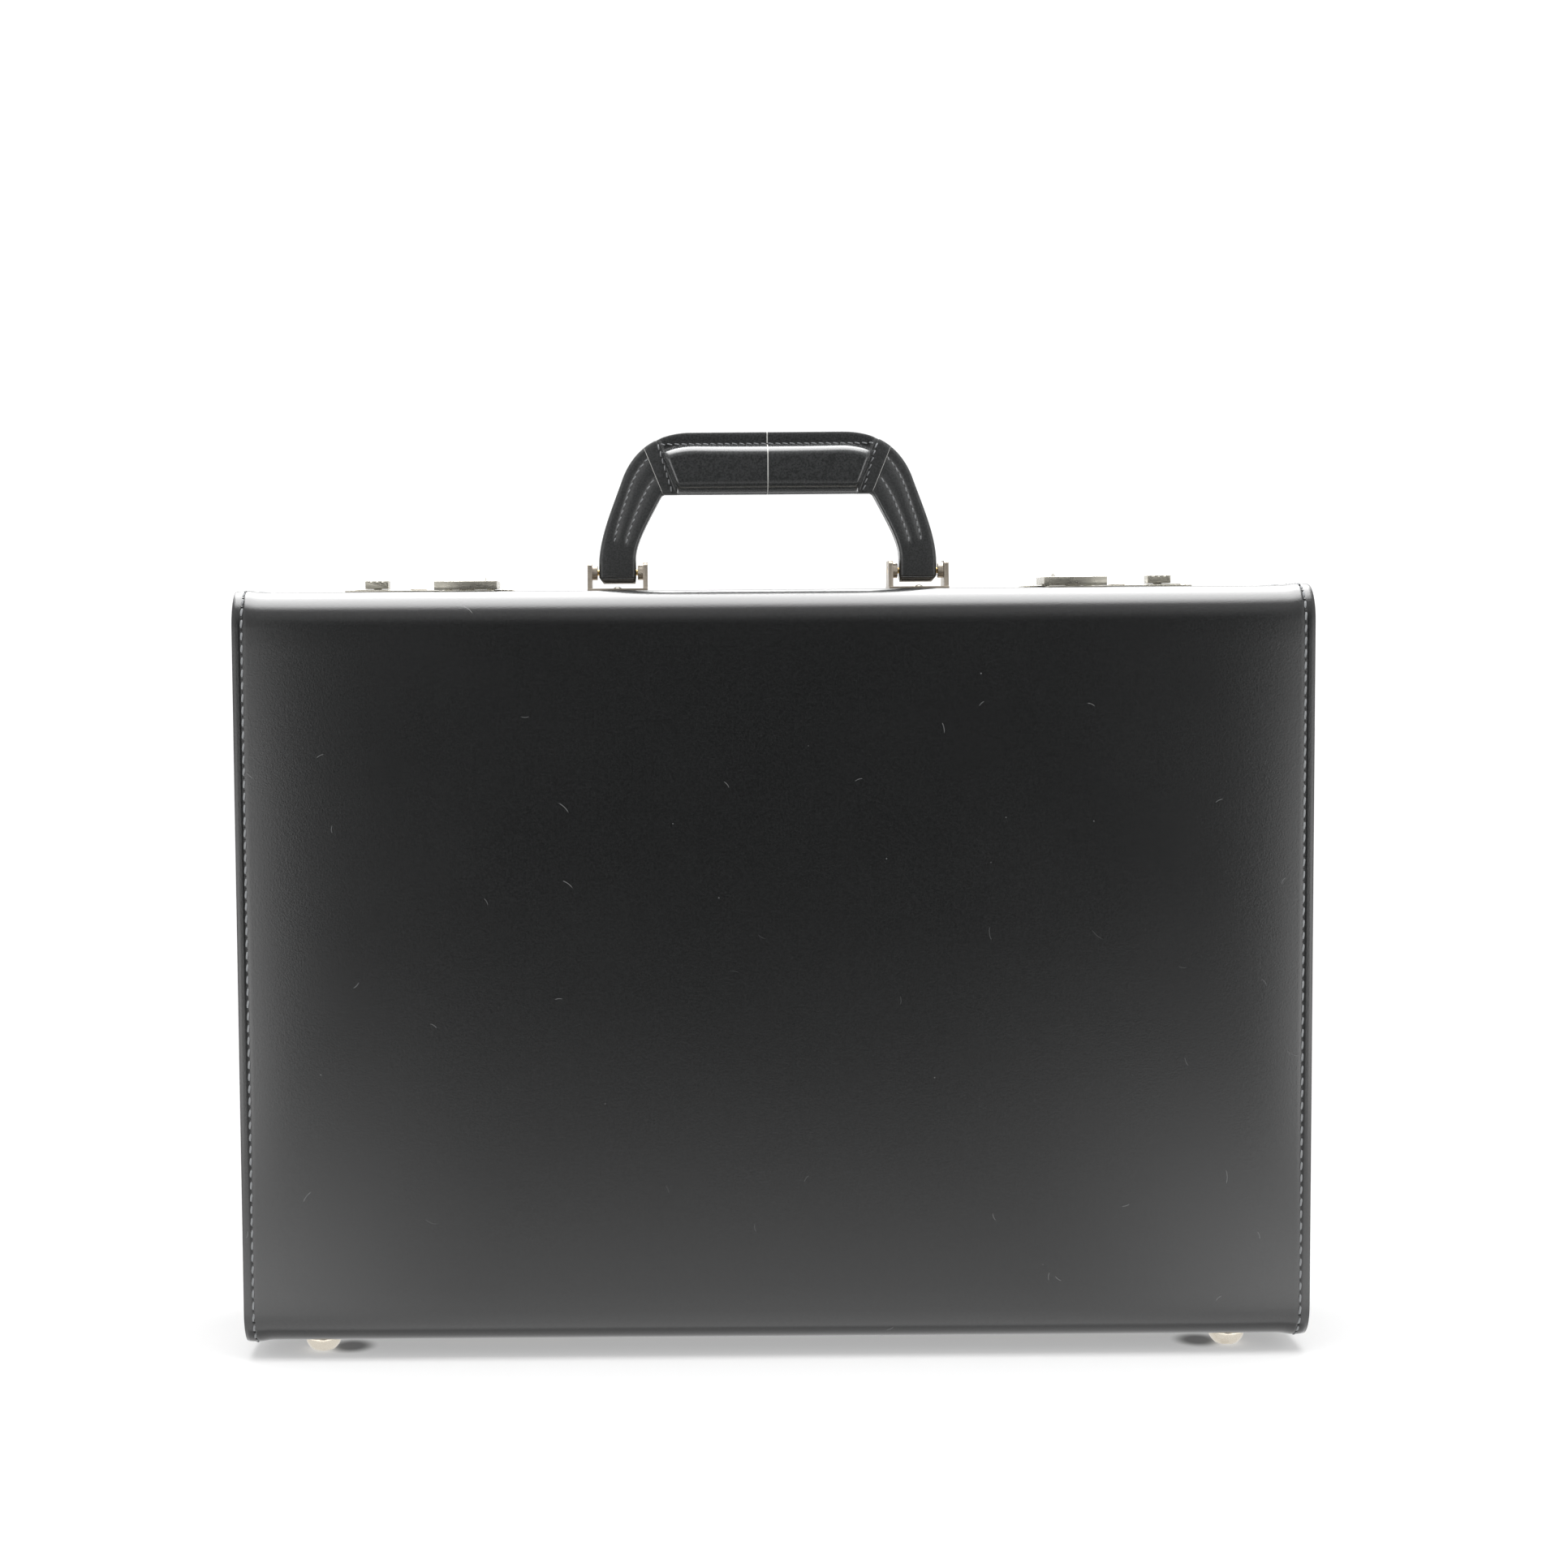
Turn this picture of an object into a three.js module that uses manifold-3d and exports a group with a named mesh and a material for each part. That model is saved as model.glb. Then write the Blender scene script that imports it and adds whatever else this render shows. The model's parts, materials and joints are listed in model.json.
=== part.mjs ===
// A hard leather attaché case that stands on four studs with its handle up.
//
// Two boxed shells, the lid in front (-Y) and the deeper base behind (+Y), meet at a metal rim and
// are hinged along the bottom. Each shell is a board tray wrapped in a leather sheet, whose ends
// stand out as sewn flanges round recessed leather end panels, with a fabric lining inside.
// The handle, the two slide-button locks and their hasps sit on top of the base, and the hasps
// reach over the rim to strike plates on the lid. Inside, an equal-armed stay at each end holds
// the open lid: its two links and the lines from the hinge axis to its two pivots form a rhombus,
// so each link always stays parallel to the opposite side.
//
// Millimetres, +Z up, +X to the right of a person facing the lid. The origin is on the floor,
// under the middle of the case.

import * as THREE from "three";
import { mergeVertices } from "three/addons/utils/BufferGeometryUtils.js";
import Module from "manifold-3d";

const wasm = await Module();
wasm.setup();

// ---------------------------------------------------------------- driving dimensions

const WIDTH = 430; // over the sewn flanges
const BODY_HEIGHT = 304; // the shells, without studs or handle
const LID_DEPTH = 40;
const BASE_DEPTH = 50;
const CORNER_RADIUS = 14; // the long edges, where the leather wraps round
const FOOT_HEIGHT = 6;

const LEATHER = 1.8;
const BOARD = 5;
const LINING = 1;
const GAP = 0.3; // between one layer and the next
const SEAT = 0.05; // under a small fitting that rests on the leather
const PAST = 1; // how far a cutting tool runs past the faces it cuts

const FLANGE = 4; // how far the sewn edge stands out past an end panel
const RIM_THICKNESS = 3;
const RIM_BAND = 9.5; // width of the rim, covering the ends of all the layers
const RIM_RECESS = 0.3; // the rim lies just below the leather
const RIM_CLEARANCE = 0.15; // from each rim to the parting plane
const RIM_CORNER = 1.5;
const TONGUE_THICKNESS = 1.2;
const TONGUE_REACH = 3.6; // how far the base's tongue enters the lid
const TONGUE_CLEARANCE = 0.5;

const HANDLE_Y = 12; // pin axis, behind the middle of the case
const PIN_HEIGHT = 8; // pin axis above the top
const LOCK_X = 141; // middle of a lock plate
const LOCK_Y = 12;
const FOOT_X = 185.5;
const FOOT_Y = 25;
const HINGE_X = 110;
const HINGE_HEIGHT = 3.7; // hinge axis above the floor
const STAY_ARM = 75; // hinge axis to pivot, and pivot to knee
const STAY_OFFSET = 12; // pivot to parting plane

// ---------------------------------------------------------------- derived positions

const DEPTH = LID_DEPTH + BASE_DEPTH;
const BOTTOM_Z = FOOT_HEIGHT;
const TOP_Z = BOTTOM_Z + BODY_HEIGHT;
const PARTING_Y = LID_DEPTH - DEPTH / 2;
const LID = { name: "lid", faceY: -DEPTH / 2, inward: 1, depth: LID_DEPTH };
const BASE = { name: "base", faceY: DEPTH / 2, inward: -1, depth: BASE_DEPTH };
const SIDES = { left: -1, right: 1 };

const BOARD_INSET = LEATHER + GAP;
const LINING_INSET = BOARD_INSET + BOARD + GAP;
const CAVITY_INSET = LINING_INSET + LINING;
const PANEL_X = WIDTH / 2 - FLANGE; // outer face of an end panel
const BOARD_X = PANEL_X - LEATHER - GAP;
const LINING_X = BOARD_X - BOARD - GAP;
const CAVITY_X = LINING_X - LINING;
const RIM_X = PANEL_X + RIM_RECESS;

// ---------------------------------------------------------------- materials

const metal = (color, roughness) => new THREE.MeshStandardMaterial({ color, roughness, metalness: 1 });
const plain = (color, roughness) => new THREE.MeshStandardMaterial({ color, roughness, metalness: 0 });
const LEATHER_BLACK = plain(0x17181a, 0.38);
const BOARD_WOOD = plain(0xa98a62, 0.8);
const LINING_CLOTH = plain(0x6b4f38, 0.95);
const POCKET_LEATHER = plain(0x4b3424, 0.6);
const NICKEL = metal(0xc9c2b2, 0.25);
const STEEL = metal(0x9a9c9e, 0.4);
const RIM_METAL = metal(0xb4aea2, 0.35);
const BRASS = metal(0xb08d4c, 0.35);

// ---------------------------------------------------------------- geometry helpers

function solidOf(geometry) {
  const loose = geometry.index ? geometry.toNonIndexed() : geometry;
  const bare = new THREE.BufferGeometry().setAttribute("position", loose.getAttribute("position"));
  const merged = mergeVertices(bare);
  return new wasm.Manifold(
    new wasm.Mesh({
      numProp: 3,
      vertProperties: merged.getAttribute("position").array,
      triVerts: new Uint32Array(merged.index.array),
    }),
  );
}

function geometryOf(solid) {
  const { vertProperties, triVerts } = solid.getMesh();
  const geometry = new THREE.BufferGeometry();
  geometry.setAttribute("position", new THREE.BufferAttribute(vertProperties, 3));
  geometry.setIndex(new THREE.BufferAttribute(triVerts, 1));
  geometry.computeVertexNormals();
  return geometry;
}

const join = (...parts) => geometryOf(parts.map(solidOf).reduce((a, b) => a.add(b)));
function cut(body, ...tools) {
  return geometryOf(tools.map(solidOf).reduce((rest, tool) => rest.subtract(tool), solidOf(body)));
}
const common = (a, b) => geometryOf(solidOf(a).intersect(solidOf(b)));

// A box from three [low, high] pairs.
function box(x, y, z) {
  const middle = (pair) => (pair[0] + pair[1]) / 2;
  const size = (pair) => pair[1] - pair[0];
  return new THREE.BoxGeometry(size(x), size(y), size(z)).translate(middle(x), middle(y), middle(z));
}

const around = (middle, half) => [middle - half, middle + half];
const longer = ([low, high]) => [low - PAST, high + PAST];

function extruded(shape, depth, curveSegments) {
  return new THREE.ExtrudeGeometry(shape, { depth, bevelEnabled: false, curveSegments });
}

// A YZ outline carried along X.
function alongX(shape, [low, high], curveSegments = 6) {
  const turn = new THREE.Matrix4().makeBasis(
    new THREE.Vector3(0, 1, 0),
    new THREE.Vector3(0, 0, 1),
    new THREE.Vector3(1, 0, 0),
  );
  return extruded(shape, high - low, curveSegments).applyMatrix4(turn).translate(low, 0, 0);
}

// An XZ outline carried along Y.
function alongY(shape, [low, high], curveSegments = 6) {
  return extruded(shape, high - low, curveSegments).rotateX(Math.PI / 2).translate(0, high, 0);
}

// An XY outline carried along Z.
function alongZ(shape, [low, high], curveSegments = 6) {
  return extruded(shape, high - low, curveSegments).translate(0, 0, low);
}

function rodX(radius, [low, high], y = 0, z = 0, segments = 16) {
  const rod = new THREE.CylinderGeometry(radius, radius, high - low, segments);
  return rod.rotateZ(-Math.PI / 2).translate((low + high) / 2, y, z);
}

function rodZ(radius, [low, high], x = 0, y = 0, segments = 16) {
  const rod = new THREE.CylinderGeometry(radius, radius, high - low, segments);
  return rod.rotateX(Math.PI / 2).translate(x, y, (low + high) / 2);
}

function roundedRectangle(halfWidth, halfHeight, radius, middleX = 0, middleY = 0) {
  const shape = new THREE.Shape();
  const corners = [
    [1, -1, -Math.PI / 2],
    [1, 1, 0],
    [-1, 1, Math.PI / 2],
    [-1, -1, Math.PI],
  ];
  for (const [sx, sy, start] of corners) {
    const x = middleX + sx * (halfWidth - radius);
    const y = middleY + sy * (halfHeight - radius);
    shape.absarc(x, y, radius, start, start + Math.PI / 2, false);
  }
  shape.closePath();
  return shape;
}

function place(parent, name, geometry, material, position = [0, 0, 0]) {
  const mesh = new THREE.Mesh(geometry, material);
  mesh.name = name;
  mesh.position.set(...position);
  parent.add(mesh);
  return mesh;
}

function groupAt(parent, position, mirrored = 1) {
  const group = new THREE.Group();
  group.position.set(...position);
  group.scale.x = mirrored;
  parent.add(group);
  return group;
}

// ---------------------------------------------------------------- shells

// A shell seen from its end: a flat face with rounded long edges, open towards the other shell.
function shellSection(shell, inset, reach) {
  const radius = CORNER_RADIUS - inset;
  const low = BOTTOM_Z + inset;
  const high = TOP_Z - inset;
  const y = (distance) => shell.faceY + shell.inward * distance;
  const clockwise = shell.inward < 0;
  const faceAngle = clockwise ? 0 : Math.PI;
  const bottomAngle = clockwise ? -Math.PI / 2 : 1.5 * Math.PI;
  const shape = new THREE.Shape();
  shape.moveTo(y(reach), low);
  shape.lineTo(y(reach), high);
  shape.absarc(y(inset + radius), high - radius, radius, Math.PI / 2, faceAngle, clockwise);
  shape.absarc(y(inset + radius), low + radius, radius, faceAngle, bottomAngle, clockwise);
  shape.closePath();
  return shape;
}

// The slot for a slide button's stem and the round hole for a key barrel, through the base's top.
function lockOpenings() {
  const through = longer([TOP_Z - CAVITY_INSET, TOP_Z]);
  return Object.values(SIDES).flatMap((side) => {
    const slot = [LOCK_X + BUTTON.slotLow - GAP, LOCK_X + BUTTON.slotHigh + GAP].map((x) => side * x);
    return [
      box([Math.min(...slot), Math.max(...slot)], around(LOCK_Y, BUTTON.slotHalf + GAP), through),
      rodZ(BARREL.radius + 2 * GAP, through, side * (LOCK_X + BARREL.x), LOCK_Y),
    ];
  });
}

function footOpenings(shell) {
  const y = Math.sign(shell.faceY) * FOOT_Y;
  const through = longer([BOTTOM_Z, BOTTOM_Z + BOARD_INSET + BOARD]);
  return Object.values(SIDES).map((side) => rodZ(FOOT.studRadius + GAP, through, side * FOOT_X, y));
}

function makeShell(parent, shell, openings) {
  const edge = shell.depth - RIM_CLEARANCE - RIM_THICKNESS - GAP;
  const past = shell.depth + PAST;
  const tray = (outer, halfX, inner, innerHalfX) =>
    cut(
      alongX(shellSection(shell, outer, edge), [-halfX, halfX]),
      alongX(shellSection(shell, inner, past), [-innerHalfX, innerHalfX]),
    );
  const { name } = shell;
  const sheet = tray(0, WIDTH / 2, LEATHER, WIDTH / 2 + PAST);
  place(parent, `${name}_leather_cover`, cut(sheet, ...openings), LEATHER_BLACK);
  const boards = tray(BOARD_INSET, BOARD_X, BOARD_INSET + BOARD, BOARD_X - BOARD);
  place(parent, `${name}_frame`, cut(boards, ...openings), BOARD_WOOD);
  const cloth = tray(LINING_INSET, LINING_X, CAVITY_INSET, CAVITY_X);
  place(parent, `${name}_lining`, cut(cloth, ...openings), LINING_CLOTH);
  for (const [sideName, side] of Object.entries(SIDES)) {
    const panel = cut(
      alongX(shellSection(shell, BOARD_INSET, edge), [PANEL_X - LEATHER, WIDTH / 2]),
      alongX(shellSection(shell, BOARD_INSET + LEATHER, past), [PANEL_X, WIDTH / 2 + PAST]),
    );
    const end = groupAt(parent, [0, 0, 0], side);
    place(end, `${name}_end_panel_${sideName}`, panel, LEATHER_BLACK);
  }
}

// A rectangular ring in the XZ plane, from one inset to another below the outside of the rim.
function rimRing(outer, inner, y) {
  const middle = (BOTTOM_Z + TOP_Z) / 2;
  const halfHeight = BODY_HEIGHT / 2 - RIM_RECESS;
  const ring = roundedRectangle(RIM_X - outer, halfHeight - outer, RIM_CORNER, 0, middle);
  ring.holes.push(roundedRectangle(RIM_X - inner, halfHeight - inner, RIM_CORNER, 0, middle));
  return alongY(ring, y, 3);
}

function makeRims(base, lid) {
  const lidFace = PARTING_Y - RIM_CLEARANCE;
  place(lid, "lid_rim", rimRing(0, RIM_BAND, [lidFace - RIM_THICKNESS, lidFace]), RIM_METAL);
  const baseFace = PARTING_Y + RIM_CLEARANCE;
  const tongueOuter = RIM_BAND + TONGUE_CLEARANCE;
  const tongueInner = tongueOuter + TONGUE_THICKNESS;
  const ring = rimRing(0, tongueInner, [baseFace, baseFace + RIM_THICKNESS]);
  const tongue = rimRing(tongueOuter, tongueInner, [PARTING_Y - TONGUE_REACH, baseFace + RIM_THICKNESS]);
  place(base, "base_rim", join(ring, tongue), RIM_METAL);
}

// ---------------------------------------------------------------- studs under the case

const FOOT = { radius: 7.2, tipRadius: 4.6, rounding: 0.6, studRadius: 2, studLength: 7, segments: 20 };

function footGeometry() {
  const top = FOOT_HEIGHT - SEAT;
  const dome = new THREE.QuadraticBezierCurve(
    new THREE.Vector2(FOOT.tipRadius, 0),
    new THREE.Vector2(FOOT.radius - FOOT.rounding, FOOT.rounding),
    new THREE.Vector2(FOOT.radius, top - FOOT.rounding),
  );
  const profile = [
    new THREE.Vector2(0, 0),
    ...dome.getPoints(4),
    new THREE.Vector2(FOOT.radius, top),
    new THREE.Vector2(FOOT.studRadius, top),
    new THREE.Vector2(FOOT.studRadius, top + FOOT.studLength),
    new THREE.Vector2(0, top + FOOT.studLength),
  ];
  return new THREE.LatheGeometry(profile, FOOT.segments).rotateX(Math.PI / 2);
}

function makeFeet(base, lid) {
  for (const [sideName, side] of Object.entries(SIDES)) {
    place(lid, `foot_front_${sideName}`, footGeometry(), NICKEL, [side * FOOT_X, -FOOT_Y, 0]);
    place(base, `foot_back_${sideName}`, footGeometry(), NICKEL, [side * FOOT_X, FOOT_Y, 0]);
  }
}

// ---------------------------------------------------------------- hinges

// Each leaf lies flat under its shell, a little above the axis of the knuckles that stand below it.

const HINGE = { knuckles: 5, knuckleLength: 10, knuckleRadius: 1.9, knuckleGap: 0.4, pin: 0.8, hole: 1.1 };
const LEAF = { low: 1, high: 2, near: 2.3, far: 17, tab: 3 };
HINGE.halfLength = (HINGE.knuckles * HINGE.knuckleLength) / 2;

// A leaf with every other knuckle, about the hinge axis. direction is +1 for the base, -1 for the lid.
function hingeLeaf(direction) {
  const y = (near, far) => (direction > 0 ? [near, far] : [-far, -near]);
  const leaf = box(around(0, HINGE.halfLength), y(LEAF.near, LEAF.far), [LEAF.low, LEAF.high]);
  const pieces = [leaf];
  for (let k = direction > 0 ? 0 : 1; k < HINGE.knuckles; k += 2) {
    const middle = (k + 0.5) * HINGE.knuckleLength - HINGE.halfLength;
    const x = around(middle, (HINGE.knuckleLength - HINGE.knuckleGap) / 2);
    pieces.push(box(x, y(0, LEAF.tab), [LEAF.low, HINGE.knuckleRadius - SEAT]));
    pieces.push(rodX(HINGE.knuckleRadius, x));
  }
  return cut(join(...pieces), rodX(HINGE.hole, around(0, HINGE.halfLength + PAST)));
}

function makeHinges(base, lid) {
  for (const [sideName, side] of Object.entries(SIDES)) {
    const at = [side * HINGE_X, PARTING_Y, HINGE_HEIGHT];
    place(base, `hinge_base_leaf_${sideName}`, hingeLeaf(1), NICKEL, at);
    place(lid, `hinge_lid_leaf_${sideName}`, hingeLeaf(-1), NICKEL, at);
    place(base, `hinge_pin_${sideName}`, rodX(HINGE.pin, around(0, HINGE.halfLength)), STEEL, at);
  }
}

// ---------------------------------------------------------------- locks
// Each lock is drawn about the middle of its plate, on top of the base, with +X away from the handle.

const PLATE = { halfX: 35, halfY: 10, top: 1.05, corner: 3 };
const BARREL = { x: 5, radius: 3.5, top: 1.7, bottom: -13 };
const CAM = { reach: 6, halfWidth: 1.5, low: -14, high: -12.5 };
const KEYWAY = { halfWidth: 0.6, halfLength: 2.4, depth: 3 };
const BUTTON = { x: 22, halfX: 4.8, halfY: 4, low: 1.9, high: 5.1, stem: 1.5, travel: 5, slotHalf: 1.9 };
const GRIP_GROOVE = { pitch: 2.4, halfWidth: 0.4, depth: 0.4 };
BUTTON.slotLow = BUTTON.x - BUTTON.slotHalf;
BUTTON.slotHigh = BUTTON.x + BUTTON.slotHalf + BUTTON.travel;
const TRACK = { middle: BUTTON.x + BUTTON.travel / 2, halfX: 7.5, halfY: 4.4, top: 1.6, corner: 1.5 };
const HASP = { x: -17, halfX: 12.8, axisY: -6, axisZ: 3.2, near: -30, far: -8.6, skin: 1.4, top: 4.4 };
HASP.low = 1.4; // underside of the cap
HASP.lipLow = 0.85;
const PAD = { halfX: 7.5, start: 3, end: 1, rise: 1.7, sink: 0.5 };
const KNUCKLE = { radius: 2, hole: 1.05, pin: 0.8, halfX: 7, lugInner: 7.3, lugOuter: 10.3 };
const HOOK = { halfX: 3, y: [-24, -22.5], low: 0.4, room: 1.5 };
const STRIKE = { halfX: 11, near: -31, far: -18.5, top: 0.7 };
const LOCK_CASE = { x: [-2, 42], halfY: 8, wall: 1, high: -8.7, low: -18 };
const BOLT = { x: [12, 27], halfY: 3, z: [-15, -11], socket: 1.8, socketFloor: -13 };
const SPRING = { turns: 6, stepsPerTurn: 10, radius: 2.1, wire: 0.4, ends: [27.4, 40.6] };

function lockPlate() {
  const plate = alongZ(roundedRectangle(PLATE.halfX, PLATE.halfY, PLATE.corner), [SEAT, PLATE.top], 4);
  const trackOutline = roundedRectangle(TRACK.halfX, TRACK.halfY, TRACK.corner, TRACK.middle);
  const track = alongZ(trackOutline, [SEAT, TRACK.top], 3);
  const lug = (x) => {
    const y = around(HASP.axisY, KNUCKLE.radius);
    return join(box(x, y, [SEAT, HASP.axisZ]), rodX(KNUCKLE.radius, x, HASP.axisY, HASP.axisZ));
  };
  const nearLug = lug([HASP.x - KNUCKLE.lugOuter, HASP.x - KNUCKLE.lugInner]);
  const farLug = lug([HASP.x + KNUCKLE.lugInner, HASP.x + KNUCKLE.lugOuter]);
  const through = longer([0, TRACK.top]);
  return cut(
    join(plate, track, nearLug, farLug),
    box([BUTTON.slotLow, BUTTON.slotHigh], around(0, BUTTON.slotHalf), through),
    rodZ(BARREL.radius + GAP, through, BARREL.x, 0),
    rodX(KNUCKLE.hole, around(HASP.x, KNUCKLE.lugOuter + PAST), HASP.axisY, HASP.axisZ),
  );
}

// A pressed cap with a turned-down lip, a domed pad on top, a knuckle at its back and a short hook.
function hasp() {
  const x = around(HASP.x, HASP.halfX);
  const cap = box(x, [HASP.near, HASP.far], [HASP.low, HASP.top]);
  const lip = box(x, [HASP.near, HASP.near + HASP.skin], [HASP.lipLow, HASP.top]);
  const ceiling = HASP.top - HASP.skin;
  const hollow = box(
    around(HASP.x, HASP.halfX - HASP.skin),
    [HASP.near + HASP.skin, HASP.far + PAST],
    [0, ceiling],
  );
  const dome = new THREE.Shape();
  dome.moveTo(HASP.near + PAD.start, HASP.top - PAD.sink);
  const domeTop = HASP.top + 2 * PAD.rise + PAD.sink;
  dome.quadraticCurveTo((HASP.near + HASP.far) / 2, domeTop, HASP.far - PAD.end, HASP.top - PAD.sink);
  const pad = alongX(dome, around(HASP.x, PAD.halfX), 8);
  const knuckleX = around(HASP.x, KNUCKLE.halfX);
  const strap = box(knuckleX, [HASP.far - PAD.end, HASP.axisY], [ceiling, HASP.top]);
  const barrel = rodX(KNUCKLE.radius, knuckleX, HASP.axisY, HASP.axisZ);
  const hook = box(around(HASP.x, HOOK.halfX), HOOK.y, [HOOK.low, HASP.top - HASP.skin / 2]);
  const hole = rodX(KNUCKLE.hole, around(HASP.x, KNUCKLE.halfX + PAST), HASP.axisY, HASP.axisZ);
  return cut(join(cut(join(cap, lip), hollow), pad, strap, barrel, hook), hole);
}

// The plate on the lid under the hasp. Its slot runs out at the rim, where the hook leaves it.
function strikePlate() {
  const plate = box(around(HASP.x, STRIKE.halfX), [STRIKE.near, STRIKE.far], [SEAT, STRIKE.top]);
  const slotX = around(HASP.x, HOOK.halfX + HOOK.room);
  const slot = box(slotX, [HOOK.y[0] - HOOK.room, STRIKE.far + PAST], longer([0, STRIKE.top]));
  return cut(plate, slot);
}

function keyBarrel() {
  const barrel = rodZ(BARREL.radius, [BARREL.bottom, BARREL.top], BARREL.x, 0, 20);
  const cam = box([BARREL.x, BARREL.x + CAM.reach], around(0, CAM.halfWidth), [CAM.low, CAM.high]);
  const keyway = box(
    around(BARREL.x, KEYWAY.halfWidth),
    around(0, KEYWAY.halfLength),
    [BARREL.top - KEYWAY.depth, BARREL.top + PAST],
  );
  return cut(join(barrel, cam), keyway);
}

function slideButton() {
  const x = around(BUTTON.x, BUTTON.halfX);
  const cap = box(x, around(0, BUTTON.halfY), [BUTTON.low, BUTTON.high]);
  const grooves = [-1, 0, 1].map((k) =>
    box(
      around(BUTTON.x + k * GRIP_GROOVE.pitch, GRIP_GROOVE.halfWidth),
      around(0, BUTTON.halfY + PAST),
      [BUTTON.high - GRIP_GROOVE.depth, BUTTON.high + PAST],
    ),
  );
  const stemZ = [BOLT.socketFloor + GAP, (BUTTON.low + BUTTON.high) / 2];
  const stem = box(around(BUTTON.x, BUTTON.stem), around(0, BUTTON.stem), stemZ);
  return join(cut(cap, ...grooves), stem);
}

function lockCase() {
  const { x, halfY, wall, high, low } = LOCK_CASE;
  const inner = box([x[0] + wall, x[1] - wall], around(0, halfY - wall), [low + wall, high + PAST]);
  return cut(box(x, around(0, halfY), [low, high]), inner);
}

function lockBolt() {
  const bolt = box(BOLT.x, around(0, BOLT.halfY), BOLT.z);
  const socketX = around(BUTTON.x, BOLT.socket);
  const socket = box(socketX, around(0, BOLT.socket), [BOLT.socketFloor, BOLT.z[1] + PAST]);
  return cut(bolt, socket);
}

function boltSpring() {
  const [start, end] = SPRING.ends;
  const middleZ = (BOLT.z[0] + BOLT.z[1]) / 2;
  const steps = SPRING.turns * SPRING.stepsPerTurn;
  const points = Array.from({ length: steps + 1 }, (_, i) => {
    const angle = (i / SPRING.stepsPerTurn) * 2 * Math.PI;
    const x = THREE.MathUtils.lerp(start + SPRING.wire, end - SPRING.wire, i / steps);
    return new THREE.Vector3(x, SPRING.radius * Math.cos(angle), middleZ + SPRING.radius * Math.sin(angle));
  });
  const wire = new THREE.Shape().absarc(0, 0, SPRING.wire, 0, 2 * Math.PI, false);
  return new THREE.ExtrudeGeometry(wire, {
    extrudePath: new THREE.CatmullRomCurve3(points),
    steps,
    curveSegments: 3,
    bevelEnabled: false,
  });
}

function makeLocks(base, lid) {
  for (const [sideName, side] of Object.entries(SIDES)) {
    const at = [side * LOCK_X, LOCK_Y, TOP_Z];
    const onBase = groupAt(base, at, side);
    const onLid = groupAt(lid, at, side);
    const hingeX = around(HASP.x, KNUCKLE.lugOuter);
    place(onBase, `lock_plate_${sideName}`, lockPlate(), NICKEL);
    place(onBase, `hasp_${sideName}`, hasp(), NICKEL);
    place(onBase, `hasp_pin_${sideName}`, rodX(KNUCKLE.pin, hingeX, HASP.axisY, HASP.axisZ), STEEL);
    place(onBase, `key_barrel_${sideName}`, keyBarrel(), BRASS);
    place(onBase, `slide_button_${sideName}`, slideButton(), NICKEL);
    place(onBase, `lock_case_${sideName}`, lockCase(), STEEL);
    place(onBase, `lock_bolt_${sideName}`, lockBolt(), BRASS);
    place(onBase, `bolt_spring_${sideName}`, boltSpring(), STEEL);
    place(onLid, `strike_plate_${sideName}`, strikePlate(), NICKEL);
  }
}

// ---------------------------------------------------------------- handle
// Drawn about the pin axis: x from the middle of the handle, z above the pins.

const ARM = { outer: 70.3, inner: 54.9, end: -3.6, halfY: 4.2 };
const GRIP = { top: 57.9, bottom: 32.1, halfY: 10, flangeHalfY: 3, flangeHeight: 5.6, radius: 6 };
const SEAM = { x: 49.2, slant: 0.38 }; // half the grip's length at mid height, and how its ends lean
const CORE = { inset: 4, halfY: 1.5, end: 4 };
const BRACKET = { x: 62.6, halfX: 12.5, halfY: 9, plate: 1.2, ear: 1.9, boss: 2.2, bossRadius: 3.2 };
BRACKET.earTop = PIN_HEIGHT + 3.9;
BRACKET.earFoot = 7;
BRACKET.earHead = 6;
BRACKET.earCorner = 1;
const HANDLE_PIN = { radius: 1.25, hole: 1.5 };

// The arch seen from the front. The legs lean in and turn into the grip; inset shrinks it all round.
function archOutline(inset, end) {
  const outer = ARM.outer - inset;
  const inner = ARM.inner + inset;
  const top = GRIP.top - inset;
  const bottom = GRIP.bottom + inset;
  const shape = new THREE.Shape();
  shape.moveTo(-outer, end);
  shape.lineTo(-outer, 5);
  shape.bezierCurveTo(0.7 - outer, 16, 5.8 - outer, 27.1 - inset / 2, 10.2 - outer, 39.4 - inset / 2);
  shape.bezierCurveTo(14.6 - outer, 50.3 - inset, 24 - outer, top, 38.5 - outer, top);
  shape.lineTo(outer - 38.5, top);
  shape.bezierCurveTo(outer - 24, top, outer - 14.6, 50.3 - inset, outer - 10.2, 39.4 - inset / 2);
  shape.bezierCurveTo(outer - 5.8, 27.1 - inset / 2, outer - 0.7, 16, outer, 5);
  shape.lineTo(outer, end);
  shape.lineTo(inner, end);
  shape.lineTo(inner, 5);
  shape.bezierCurveTo(inner - 0.1, 11.9, inner - 4.1, 18.8, inner - 11.3, bottom);
  shape.lineTo(11.3 - inner, bottom);
  shape.bezierCurveTo(4.1 - inner, 18.8, 0.1 - inner, 11.9, -inner, 5);
  shape.lineTo(-inner, end);
  shape.closePath();
  return shape;
}

// The part of the arch between the two slanting seams where the grip meets the arms.
function gripRegion(trim) {
  const shape = new THREE.Shape();
  const [low, high] = longer([GRIP.bottom, GRIP.top]);
  const middle = (low + high) / 2;
  const seam = (z) => SEAM.x - trim + SEAM.slant * (z - middle);
  shape.moveTo(-seam(low), low);
  shape.lineTo(seam(low), low);
  shape.lineTo(seam(high), high);
  shape.lineTo(-seam(high), high);
  shape.closePath();
  return shape;
}

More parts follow.
